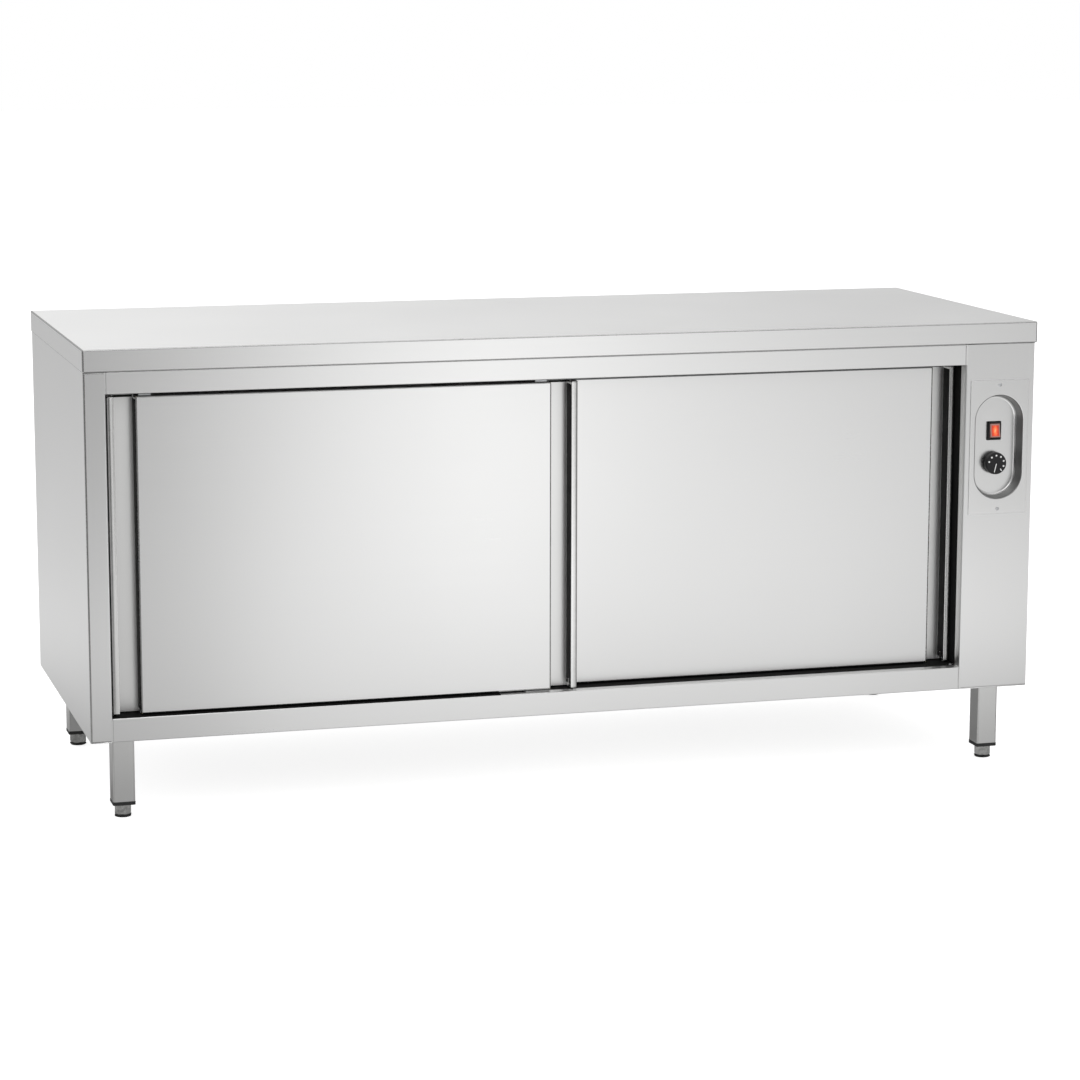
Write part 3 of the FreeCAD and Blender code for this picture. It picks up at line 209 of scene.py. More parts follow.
def lit_lens(name, centre, half_width, half_height):
    """Clear coloured plastic lit from behind: hot in the middle, with a paler moulded border."""
    material, tree, shader = new_material(name)
    place = add(tree, "TexCoord").outputs["Object"]
    shift = vector_calc(tree, "SUBTRACT", place, centre)
    scaled = vector_calc(tree, "MULTIPLY", shift, (1 / half_width, 0, 1 / half_height))
    size = add(tree, "SeparateXYZ", {"Vector": vector_calc(tree, "ABSOLUTE", scaled)}).outputs
    square = calc(tree, "MAXIMUM", size["X"], size["Z"])
    narrow = vector_calc(tree, "MULTIPLY", scaled, (1.5, 0, 0.85))
    round_off = vector_calc(tree, "LENGTH", narrow, output="Value")
    grain = noise(tree, place, 420.0, 2.0)
    heat = ramp(tree, calc(tree, "ADD", round_off, spread(tree, grain, -0.16, 0.16)), LENS_HEAT)
    border = ranged(tree, square, 0.70, 0.80, smooth=True)
    surface(tree, shader, grain, 0.3, 0.0002, Base_Color=blend(tree, border, LENS_SKIN, LENS_BORDER),
            Emission_Color=heat, Emission_Strength=ranged(tree, border, 0.0, 1.0, 0.75, 0.10),
            Roughness=spread(tree, grain, 0.18, 0.28))
    return material


rocker_low, rocker_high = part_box("switch_rocker")
LENS = lit_lens(
    "lit_lens", (rocker_low + rocker_high) / 2,
    (rocker_high.x - rocker_low.x) / 2 - 1.5 * MM, (rocker_high.z - rocker_low.z) / 2,
)
# SHEET and GRIP darken their marked folds and edges: painted shade in the bends, which also holds back their
# highlight.
SHEET = brushed("satin_sheet", (0.83, 0.83, 0.825), 0.29, aniso=0.75, edge_shade_factor=0.5)
INNER = brushed("inner_sheet", (0.70, 0.70, 0.695), 0.38)
TUBE = brushed("leg_tube", (0.80, 0.80, 0.79), 0.30)
# GRIP and DISH give their marked recess faces a painted tone: slightly lighter on the grip floors, and much darker
# on the dish walls as painted shade.
GRIP = brushed("grip_sheet", (0.86, 0.86, 0.85), 0.24, aniso=0.5, matt=0.14, shade=1.02, edge_shade_factor=0.35)
DISH = brushed("pressed_sheet", (0.80, 0.80, 0.795), 0.24, aniso=0.4, matt=0.2, shade=0.34)
FOOT = moulded("plated_foot", (0.50, 0.50, 0.49), 0.24, 600.0, 0.15, 1.0, 0.65, patch=150.0)
# Painted shade: near-black strips for the opening's floor and jambs, where there is only shade.
OPENING_SHADE = moulded("opening_shade_strip", (0.006, 0.006, 0.006), 0.75, specular=0.12)
KNOB = moulded("knob_plastic", (0.012, 0.012, 0.013), 0.42, specular=0.35)
ZINC = moulded("zinc_plate", (0.62, 0.63, 0.64), 0.33, 500.0, 0.2, 1.0, 0.06)
BLACK = moulded("black_plastic", (0.018, 0.018, 0.018), 0.42)
RUBBER = moulded("black_rubber", (0.012, 0.012, 0.012), 0.6)
# Painted shade: near-black sheets for the grip walls and recess tops, where there is only shade.
GRIP_SHADE = moulded("grip_shade_strip", (0.006, 0.006, 0.006), 0.65, specular=0.2)
NYLON = moulded("nylon", (0.80, 0.80, 0.77), 0.45)
GREY = moulded("guide_plastic", (0.36, 0.36, 0.36), 0.5)
WHITE = moulded("white_plastic", (0.80, 0.80, 0.77), 0.45)
PRINT = moulded("white_print", (0.85, 0.85, 0.84), 0.5)
PAINT = moulded("motor_paint", (0.06, 0.06, 0.065), 0.35)
FAN = brushed("fan_aluminium", (0.75, 0.76, 0.77), 0.4)
HEATER = moulded("heater_steel", (0.34, 0.31, 0.29), 0.42, 700.0, 0.2, 1.0, 0.2)
WOOL = moulded("mineral_wool", (0.62, 0.54, 0.30), 0.9, 160.0, 1.0)

FINISH = {
    "stainless": SHEET,
    "inner_stainless": INNER,
    "zinc_steel": ZINC,
    "mineral_wool": WOOL,
    "nylon": NYLON,
    "guide_plastic": GREY,
    "black_plastic": BLACK,
    "lit_orange": BLACK,
    "black_rubber": RUBBER,
    "motor_paint": PAINT,
    "fan_aluminium": FAN,
    "heater_steel": HEATER,
    "white_plastic": WHITE,
}


# ---- mesh helpers ----

def lay_grain(bm, grain, spare="Y"):
    """Writes the grain map: U across the grain and V along it, in metres."""
    layer = bm.loops.layers.uv.new("grain")
    along = AXES[grain]
    spare = AXES[spare] if grain != spare else AXES["X"]
    matt = bm.faces.layers.float.get("matt")
    bm.normal_update()
    for face in bm.faces:
        run = along if abs(face.normal.dot(along)) < 0.7 else spare
        if matt and face[matt] > 0.5 and abs(face.normal.y) > 0.9:
            run = AXES["X"]
        across = face.normal.cross(run)
        if across.length < 1e-6:
            across = AXES["X"]
        across.normalize()
        for loop in face.loops:
            loop[layer].uv = (loop.vert.co.dot(across), loop.vert.co.dot(run))


def finish_piece(name, bm, body, material, grain="X", stands_for=(), smooth=35, spare="Y"):
    """Turns a bmesh into a piece that rides on a body."""
    lay_grain(bm, grain, spare)
    mesh = bpy.data.meshes.new(name)
    bm.to_mesh(mesh)
    bm.free()
    for face in mesh.polygons:
        face.use_smooth = True
    mesh.set_sharp_from_angle(angle=math.radians(smooth))
    piece = bpy.data.objects.new(name, mesh)
    bpy.context.scene.collection.objects.link(piece)
    piece.data.materials.append(material)
    flat = piece.modifiers.new("even_normals", "WEIGHTED_NORMAL")
    flat.keep_sharp = True
    flat.weight = 100
    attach(piece, body)
    if stands_for:
        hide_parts(*stands_for)
    return piece


def stand_in(node, bm, material, grain, smooth=35, spare="Y"):
    """Turns a bmesh into the piece that stands for a node."""
    return finish_piece(node + "_form", bm, BODY_OF[node], material, grain, (node,), smooth, spare)


def middle(node):
    low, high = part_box(node)
    return [(a + b) / 2 for a, b in zip(low, high)]


def solid_copy(node):
    """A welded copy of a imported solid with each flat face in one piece."""
    bm = bmesh.new()
    bm.from_mesh(frame["nodes"][node].data)
    bmesh.ops.remove_doubles(bm, verts=bm.verts, dist=0.01 * MM)
    bmesh.ops.dissolve_limit(bm, angle_limit=math.radians(0.4), verts=bm.verts, edges=bm.edges)
    bm.normal_update()
    return bm


def breadth(face, edge):
    return face.calc_area() / max(edge.calc_length(), 1e-9)


def round_edges(bm, radius, steps, pick, edge_shade, amount=1.0):
    chosen = [e for e in bm.edges if len(e.link_faces) == 2 and e.calc_face_angle() > math.radians(40) and pick(e)]
    if not chosen:
        return
    made = bmesh.ops.bevel(
        bm, geom=chosen, offset=radius, offset_type="OFFSET", segments=steps, profile=0.5,
        affect="EDGES", clamp_overlap=False, loop_slide=True,
    )
    for face in made["faces"]:
        face[edge_shade] = amount
    bm.normal_update()


def bend_and_ease(bm, bend, sheet, ease, bend_pick=None, amount=1.0):
    """Rounds the folds of a sheet part and takes the sharpness off its cut edges."""
    # The rounded faces are marked for painted edge shade.
    edge_shade = bm.faces.layers.float.new("edge_shade")

    def fold(edge):
        if edge.calc_length() < 5 * MM or min(breadth(f, edge) for f in edge.link_faces) < 3 * MM:
            return False
        return bend_pick is None or bend_pick(edge)

    if bend > 0:
        round_edges(bm, bend, 4, lambda e: e.is_convex and fold(e), edge_shade, amount)
        round_edges(bm, max(bend - sheet, 0.3 * MM), 3, lambda e: not e.is_convex and fold(e), edge_shade, amount)
    if ease > 0:
        round_edges(bm, ease, 2, lambda e: e.is_convex, edge_shade, amount)
    return edge_shade


FOLD_SHADE_FROM = 0.88


def dress(node, material=None, grain="X", bend=0.0, sheet=1.2 * MM, ease=0.25 * MM, bend_pick=None, spare="Y",
          amount=1.0, inner=1.0):
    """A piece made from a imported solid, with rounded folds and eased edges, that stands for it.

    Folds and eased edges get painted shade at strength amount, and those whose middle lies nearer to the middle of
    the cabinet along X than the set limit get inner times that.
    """
    bm = solid_copy(node)
    edge_shade = bend_and_ease(bm, bend, sheet, ease, bend_pick, amount)
    for face in bm.faces:
        if inner < 1 and abs(face.calc_center_median().x) < FOLD_SHADE_FROM:
            face[edge_shade] *= inner
    stand_in(node, bm, material or FINISH[SLOT_OF[node]], grain, spare=spare)


def ring_faces(bm, rings, closed=True):
    """Joins rings of vertices with quads."""
    for first, second in zip(rings, rings[1:]):
        count = len(first)
        for i in range(count if closed else count - 1):
            j = (i + 1) % count
            bm.faces.new((first[i], first[j], second[j], second[i]))


# ---- bent sheet, turned and screwed pieces ----

def rounded_path(points, radii, step=15):
    """A 2D polyline whose inner corners are arcs, as (point, normal) pairs with the normal to the right."""
    points = [Vector(p) for p in points]
    line = [points[0]]
    for i in range(1, len(points) - 1):
        back = (points[i - 1] - points[i])
        ahead = (points[i + 1] - points[i])
        back.normalize()
        ahead.normalize()
        radius = radii[i]
        half = math.acos(max(-1, min(1, back.dot(ahead)))) / 2
        if radius <= 0 or half > math.radians(89.9):
            line.append(points[i])
            continue
        cut = radius / math.tan(half)
        centre = points[i] + (back + ahead).normalized() * (radius / math.sin(half))
        first = points[i] + back * cut - centre
        sweep = math.pi - 2 * half
        turn = 1 if back.cross(ahead) < 0 else -1
        count = max(2, math.ceil(math.degrees(sweep) / step))
        for k in range(count + 1):
            angle = turn * sweep * k / count
            c, s = math.cos(angle), math.sin(angle)
            line.append(centre + Vector((c * first.x - s * first.y, s * first.x + c * first.y)))
    line.append(points[-1])
    pairs = []
    for i, point in enumerate(line):
        before = (point - line[i - 1]).normalized() if i else Vector((0, 0))
        after = (line[i + 1] - point).normalized() if i + 1 < len(line) else Vector((0, 0))
        along = (before + after).normalized()
        pairs.append((point, Vector((along.y, -along.x))))
    return pairs


def bent_sheet(bm, pairs, thickness, levels, shape=None):
    """Extrudes a bent line upwards through the levels; the metal lies to the left of the line."""
    rings = []
    for z in levels:
        ring = [(p.x, p.y) for p, n in pairs]
        ring += [((p - n * thickness).x, (p - n * thickness).y) for p, n in reversed(pairs)]
        placed = [shape(x, y, z) if shape else (x, y, z) for x, y in ring]
        rings.append([bm.verts.new(co) for co in placed])
    ring_faces(bm, rings)
    count = len(pairs)
    for ring in (rings[0], rings[-1]):
        for i in range(count - 1):
            bm.faces.new((ring[i], ring[i + 1], ring[2 * count - 2 - i], ring[2 * count - 1 - i]))
    bmesh.ops.recalc_face_normals(bm, faces=bm.faces)


def box_mesh(bm, low, high):
    corners = [
        bm.verts.new((x, y, z))
        for z in (low[2], high[2]) for y in (low[1], high[1]) for x in (low[0], high[0])
    ]
    for face in ((0, 2, 3, 1), (4, 5, 7, 6), (0, 1, 5, 4), (2, 6, 7, 3), (0, 4, 6, 2), (1, 3, 7, 5)):
        bm.faces.new([corners[i] for i in face])


def finish_boxes(name, bm, ease, body, material, grain):
    """Eases every edge of the boxes and makes one piece of them."""
    bmesh.ops.recalc_face_normals(bm, faces=bm.faces)
    bmesh.ops.bevel(
        bm, geom=list(bm.edges), offset=ease, offset_type="OFFSET", segments=2, profile=0.5,
        affect="EDGES", clamp_overlap=True,
    )
    finish_piece(name, bm, body, material, grain)


def turned(bm, profile, centre, axis, segments=48, flutes=0, flute_depth=0.0, flute_from=1e9):
    """Turns (radius, along) points about an axis; the profile's ends at radius 0 are closed."""
    centre = Vector(centre)
    along = AXES[axis]
    first = AXES["X"] if axis != "X" else AXES["Y"]
    second = along.cross(first)
    rings = []
    for radius, reach in profile:
        if radius <= 0:
            rings.append([bm.verts.new(centre + along * reach)])
            continue
        ring = []
        for i in range(segments):
            angle = 2 * math.pi * i / segments
            r = radius
            if flutes and radius >= flute_from:
                r -= flute_depth * (0.5 + 0.5 * math.cos(flutes * angle))
            out = first * r * math.cos(angle) + second * r * math.sin(angle)
            ring.append(bm.verts.new(centre + along * reach + out))
        rings.append(ring)
    for a, b in zip(rings, rings[1:]):
        if len(a) == 1 or len(b) == 1:
            tip, ring = (a[0], b) if len(a) == 1 else (b[0], a)
            for i in range(segments):
                bm.faces.new((tip, ring[i], ring[(i + 1) % segments]))
        else:
            ring_faces(bm, [a, b])
    bmesh.ops.recalc_face_normals(bm, faces=bm.faces)


def cross_screw(bm, centre, axis, way, radius, height, twist=0.0):
    """A low domed head with a cross recess; way is 1 or -1 along the axis."""
    centre = Vector(centre)
    along = AXES[axis] * way
    first = AXES["X"] if axis != "X" else AXES["Y"]
    second = along.cross(first)
    turn = Matrix.Rotation(math.radians(twist), 3, along)
    first, second = turn @ first, turn @ second

    def spot(x, y, h):
        return bm.verts.new(centre + first * x + second * y + along * h)

    segments = 24
    rings = []
    for r, h in ((radius, 0), (radius, height * 0.35), (radius * 0.93, height * 0.7), (radius * 0.72, height)):
        rings.append([
            spot(r * math.cos(2 * math.pi * i / segments), r * math.sin(2 * math.pi * i / segments), h)
            for i in range(segments)
        ])
    ring_faces(bm, rings)
    arm, half = radius * 0.52, radius * 0.13
    cross = [
        (arm, -half), (arm, half), (half, half), (half, arm), (-half, arm), (-half, half),
        (-arm, half), (-arm, -half), (-half, -half), (-half, -arm), (half, -arm), (half, -half),
    ]
    rim = [spot(x, y, height) for x, y in cross]
    sunk = [spot(x * 0.8, y * 0.8, height * 0.2) for x, y in cross]
    ring_faces(bm, [rim, sunk])
    bm.faces.new(sunk)
    edges = [bm.edges.get((a, b)) for ring in (rings[-1], rim) for a, b in zip(ring, ring[1:] + ring[:1])]
    bmesh.ops.triangle_fill(bm, use_beauty=True, use_dissolve=False, edges=edges)


def hex_nut(bm, centre, across, low, high, twist, rim=0.6 * MM):
    """A hexagon with turned chamfers at both ends, so each flat ends in an arc."""
    flat = across / 2
    steps = 8
    outline = []
    for side in range(6):
        for i in range(steps):
            t = -0.5 + i / steps
            angle = math.radians(60 * side + 90 + twist)
            along = 2 * t * flat * math.tan(math.radians(30))
            outline.append((
                flat * math.cos(angle) - along * math.sin(angle),
                flat * math.sin(angle) + along * math.cos(angle),
            ))

    def level(z, way):
        ring = []
        for x, y in outline:
            r = math.hypot(x, y)
            drop = max(0.0, (r - flat * 0.99) * math.tan(math.radians(30))) + rim * 0.2
            ring.append(bm.verts.new((centre[0] + x, centre[1] + y, z - way * drop)))
        return ring

    def circle(z, radius):
        ring = []
        for x, y in outline:
            r = math.hypot(x, y)
            ring.append(bm.verts.new((centre[0] + x / r * radius, centre[1] + y / r * radius, z)))
        return ring

    rings = [circle(low, flat * 0.95), level(low, -1), level(high, 1), circle(high, flat * 0.95)]
    ring_faces(bm, rings)
    bm.faces.new(rings[0])
    bm.faces.new(rings[-1])
    bmesh.ops.recalc_face_normals(bm, faces=bm.faces)


# ---- worktop ----

def rounded_rectangle(half_x, half_y, radius, steps):
    points = []
    corners = ((half_x, half_y, 0), (-half_x, half_y, 90), (-half_x, -half_y, 180), (half_x, -half_y, 270))
    for cx, cy, start in corners:
        for i in range(steps + 1):
            angle = math.radians(start + 90 * i / steps)
            x = cx - math.copysign(radius, cx) + radius * math.cos(angle)
            y = cy - math.copysign(radius, cy) + radius * math.sin(angle)
            points.append((x, y))
    return points


def quarter(start_inset, start_z, end_inset, end_z, steps, bulge):
    """Points on a quarter ellipse between two (inset, height) points, both included."""
    points = []
    for i in range(steps + 1):
        t = math.radians(90 * i / steps)
        if bulge == "out":
            inset = start_inset + (end_inset - start_inset) * math.sin(t)
            z = end_z + (start_z - end_z) * math.cos(t)
        else:
            inset = end_inset + (start_inset - end_inset) * math.cos(t)
            z = start_z + (end_z - start_z) * math.sin(t)
        points.append((inset, z))
    return points


def build_worktop():
    low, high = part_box("worktop")
    half_x, half_y = (high.x - low.x) / 2, (high.y - low.y) / 2
    sheet = 1.5 * MM
    bend = 2.5 * MM
    under = 2.2 * MM
    reach = 15 * MM
    corner = 3.0 * MM
    top, bottom = high.z, low.z
    profile = quarter(bend, top, 0, top - bend, 5, "out")
    profile += quarter(0, bottom + under, under, bottom, 4, "in")
    profile += [(reach, bottom), (reach, bottom + sheet)]
    profile += quarter(under, bottom + sheet, sheet, bottom + under, 2, "out")
    profile += quarter(sheet, top - bend, bend, top - sheet, 3, "in")
    bm = bmesh.new()
    rings = []
    for inset, z in profile:
        radius = max(corner - inset, 0.2 * MM)
        rings.append([
            bm.verts.new((x, y, z))
            for x, y in rounded_rectangle(half_x - inset, half_y - inset, radius, 6)
        ])
    ring_faces(bm, rings)
    bm.faces.new(rings[0])
    bm.faces.new(rings[-1])
    bmesh.ops.recalc_face_normals(bm, faces=bm.faces)
    # Painted shade: the rounded fold faces are marked to be darkened, standing in for the shade in the bends and
    # holding back the fold highlight. The lower folds at both sides get less of it.
    edge_shade = bm.faces.layers.float.new("edge_shade")
    for face in bm.faces:
        spot = face.calc_center_median()
        if len(face.verts) == 4 and min(e.calc_length() for e in face.edges) < 1.6 * MM:
            face[edge_shade] = 0.3 if abs(spot.x) > half_x - 3 * MM and spot.z < bottom + 3 * MM else 1.0
    stand_in("worktop", bm, SHEET, "X")


build_worktop()


# ---- cabinet sheets ----

# Painted fold shade: the side panels' folds near the opening take a tenth of it and the rails' folds take little
# of it, so those bends keep their highlight.
for node in ("left_side_panel", "right_side_panel"):
    dress(node, grain="Y", bend=3.0 * MM, spare="Z", inner=0.1)
for node in ("top_rail", "bottom_rail"):
    dress(node, grain="X", bend=1.8 * MM, amount=0.15)
dress("rear_panel", grain="X", ease=0.3 * MM)
dress("base_panel", grain="X", bend=1.8 * MM)
for node in ("chamber_left_wall", "chamber_right_wall", "chamber_back_wall"):
    dress(node, grain="Z")
for node in ("chamber_ceiling", "chamber_floor"):
    dress(node, grain="X", bend=1.8 * MM)
dress("middle_shelf", grain="X", bend=2.0 * MM)
dress("shelf_stiffener", grain="X", bend=1.8 * MM)
dress("shelf_supports", grain="Y", bend=2.0 * MM, sheet=1.5 * MM)
dress("upper_door_track", grain="X", bend=2.0 * MM, sheet=1.5 * MM)
dress("worktop_stiffeners", grain="Y", bend=2.0 * MM, sheet=1.5 * MM)
dress("air_duct", grain="Z", bend=1.5 * MM, sheet=1.0 * MM)


def build_welds():
    """Ground welds that close the folds where the rails meet the stile and the column."""
    bm = bmesh.new()
    for node in ("top_rail", "bottom_rail"):
        low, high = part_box(node)
        for edge, way in ((low.x, -1), (high.x, 1)):
            start, end = sorted((edge - way * 0.3 * MM, edge + way * 3.1 * MM))
            box_mesh(bm, (start, low.y - 0.02 * MM, low.z + 0.3 * MM), (end, low.y + 1.5 * MM, high.z - 0.3 * MM))
    finish_boxes("corner_welds", bm, 0.12 * MM, "cabinet", SHEET, "X")


build_welds()


# ---- doors ----

def grip_section(inner_x, lip_inner, lip_outer, face_y, floor_y, back_y):
    """One grip seen from above: recess floor, side wall and a lip with a rolled outer edge."""
    way = 1 if lip_outer > lip_inner else -1

    def spot(inset, depth):
        return lip_outer - way * inset, face_y + depth

    line = [
        (inner_x, floor_y), (lip_inner, floor_y), (lip_inner, face_y + 0.30 * MM), spot(8.5 * MM, 0.38 * MM),
        spot(3.2 * MM, 0), spot(0, 1.9 * MM), (lip_outer, back_y),
    ]
    radii = [0, 1.2 * MM, 0.8 * MM, 16 * MM, 7 * MM, 2.2 * MM, 0]
    if way < 0:
        line.reverse()
        radii.reverse()
    return rounded_path(line, radii)


def crossing(first, second, level):
    """The point of a line between two points at a given Y."""
    share = (level - first.y) / (second.y - first.y)
    return first + (second - first) * share


def build_grips(side):
    low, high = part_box(side + "_door_grip_channels")
    skin_low, skin_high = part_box(side + "_door_front_skin")
    groove_low, groove_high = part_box(side + "_door_groove_channel")
    lip = 12 * MM
    face = low.y
    floor_y = face + 29 * MM
    back = high.y
    sheet = 1 * MM
    round_end = 3 * MM
    steps = [round_end * (1 - math.cos(math.radians(a))) for a in (0, 22.5, 45, 67.5, 90)]
    bm = bmesh.new()
    for lip_inner, lip_outer, inner in ((low.x + lip, low.x, skin_low.x), (high.x - lip, high.x, skin_high.x)):
        middle = (lip_inner + lip_outer) / 2
        pairs = grip_section(inner, lip_inner, lip_outer, face, floor_y, back)

        def soften(x, y, z):
            """Rounds the two ends of the lip."""
            rise = min(z - low.z, high.z - z)
            if rise >= round_end or y > face + 4 * MM or abs(x - middle) > lip / 2 + MM:
                return x, y, z
            inset = round_end - math.sqrt(max(0.0, round_end ** 2 - (round_end - rise) ** 2))
            fade = 1 - (y - face) / (4 * MM)
            narrow = 1 - fade * inset * 0.8 / (lip / 2)
            return middle + (x - middle) * narrow, y + fade * inset * 0.6, z

        upper = [groove_high.z, (groove_high.z + high.z) / 2] + [high.z - s for s in reversed(steps)]
        bent_sheet(bm, pairs, sheet, upper, soften)
        lower = [low.z + s for s in steps] + [groove_high.z]
        run = []
        for point, normal in pairs:
            if run:
                last = run[-1][0]
                if (last.y - groove_low.y) * (point.y - groove_low.y) < 0:
                    levels = (groove_low.y, groove_high.y)
                    if last.y >= groove_low.y:
                        levels = levels[::-1]
                    level_normal = Vector((1, 0)) if point.y > last.y else Vector((-1, 0))
                    run.append((crossing(last, point, levels[0]), level_normal))
                    bent_sheet(bm, run, sheet, lower, soften)
                    run = [(crossing(last, point, levels[1]), level_normal)]
            run.append((point, normal))
        bent_sheet(bm, run, sheet, lower, soften)
    # Recess floors are marked rougher, with a slightly lighter painted tone. The lip's front faces are marked for
    # painted shade, strongest at the door's outer ends.
    matt = bm.faces.layers.float.new("matt")
    edge_shade = bm.faces.layers.float.new("edge_shade")
    for f in bm.faces:
        spot = f.calc_center_median()
        if min(v.co.y for v in f.verts) > floor_y - 1.5 * MM:
            f[matt] = 1.0
        elif spot.y < face + 4 * MM:
            f[edge_shade] = max(0.0, 1 - min(spot.x - low.x, high.x - spot.x) / (10 * MM))
    finish_piece(
        side + "_door_grips_form", bm, side + "_door", GRIP, "Z",
        (side + "_door_grip_channels",), smooth=32,
    )
    # Painted shade: black strips on the grip walls that face the left, and a band at the top of each recess floor,
    # stand where the deep grip is only in shade.
    strips = bmesh.new()
    trim = 6.5 * MM
    thick = 0.9 * MM
    over_guide, beside_guide = 0.8 * MM, 0.4 * MM
    top_shade_low, top_shade_high = 4.5 * MM, 0.4 * MM
    for wall_x in (skin_low.x, high.x - lip):
        front, rear = face + 3.0 * MM, floor_y - 0.1 * MM
        over = groove_high.z + over_guide
        box_mesh(strips, (wall_x - thick, front, over), (wall_x, rear, high.z - trim))
        for near, far in ((front, groove_low.y - beside_guide), (groove_high.y + beside_guide, rear)):
            box_mesh(strips, (wall_x - thick, near, low.z + trim), (wall_x, far, over - 0.1 * MM))
    for near, far in ((low.x + lip + 1.5 * MM, skin_low.x - thick), (skin_high.x, high.x - lip - thick)):
        box_mesh(strips, (near, floor_y - 0.8 * MM, high.z - top_shade_low),
                 (far, floor_y - 0.02 * MM, high.z - top_shade_high))
    finish_boxes(side + "_door_grip_shade_strips", strips, 0.25 * MM, side + "_door", GRIP_SHADE, "Z")


for side in ("left", "right"):
    prefix = side + "_door_"
    dress(prefix + "front_skin", grain="X", bend=3.0 * MM, sheet=1.0 * MM)
    dress(prefix + "back_skin", grain="X")
    build_grips(side)
    dress(prefix + "hangers", grain="X", ease=0.4 * MM)
    for end in ("left", "right"):
        dress(prefix + end + "_roller", grain="X", ease=0.6 * MM)
dress("lower_door_guide", grain="X", ease=0.6 * MM)


def build_opening_shade_strips():
    """Black strips on the floor and jambs of the opening, where the doors run: dark sheets that stand in for the
    shade deep in the opening (painted shade).
    """
    guide_low, guide_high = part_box("lower_door_guide")
    rail_low, rail_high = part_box("bottom_rail")
    head_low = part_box("top_rail")[0]
    thick = 0.8 * MM
    near, far = rail_low.y + 22 * MM, rail_high.y - 4 * MM
    floor = rail_high.z
    bm = bmesh.new()
    step = guide_low.x - 50 * MM
    for start, end, front in (
        (rail_low.x + MM, step, rail_low.y + 2.5 * MM), (step, guide_low.x - MM, near),
        (guide_high.x + MM, rail_high.x - MM, near),
    ):
        box_mesh(bm, (start, front, floor), (end, far, floor + thick))
    for x, way in ((rail_low.x, 1), (rail_high.x, -1)):
        a, b = sorted((x, x + way * 0.6 * MM))
        box_mesh(bm, (a, rail_low.y + 23 * MM, floor + thick), (b, far, head_low.z - MM))
    finish_boxes("opening_shade_strips", bm, 0.2 * MM, "cabinet", OPENING_SHADE, "X")


build_opening_shade_strips()


# ---- control column ----

def stadium(half_width, half_height, grow, arc=20, run=8):
    """Points round a tall slot; rings with other values of grow have their points side by side."""
    rise = half_height - half_width
    radius = half_width + grow
    points = []
    for way, start in ((1, 0.0), (-1, math.pi)):
        for i in range(arc + 1):
            angle = start + math.pi * i / arc
            points.append((radius * math.cos(angle), way * rise + radius * math.sin(angle), angle, way * rise))
        for i in range(1, run):
            level = way * (rise - 2 * rise * i / run)
            points.append((-way * radius, level, math.pi - start, level))
    return points


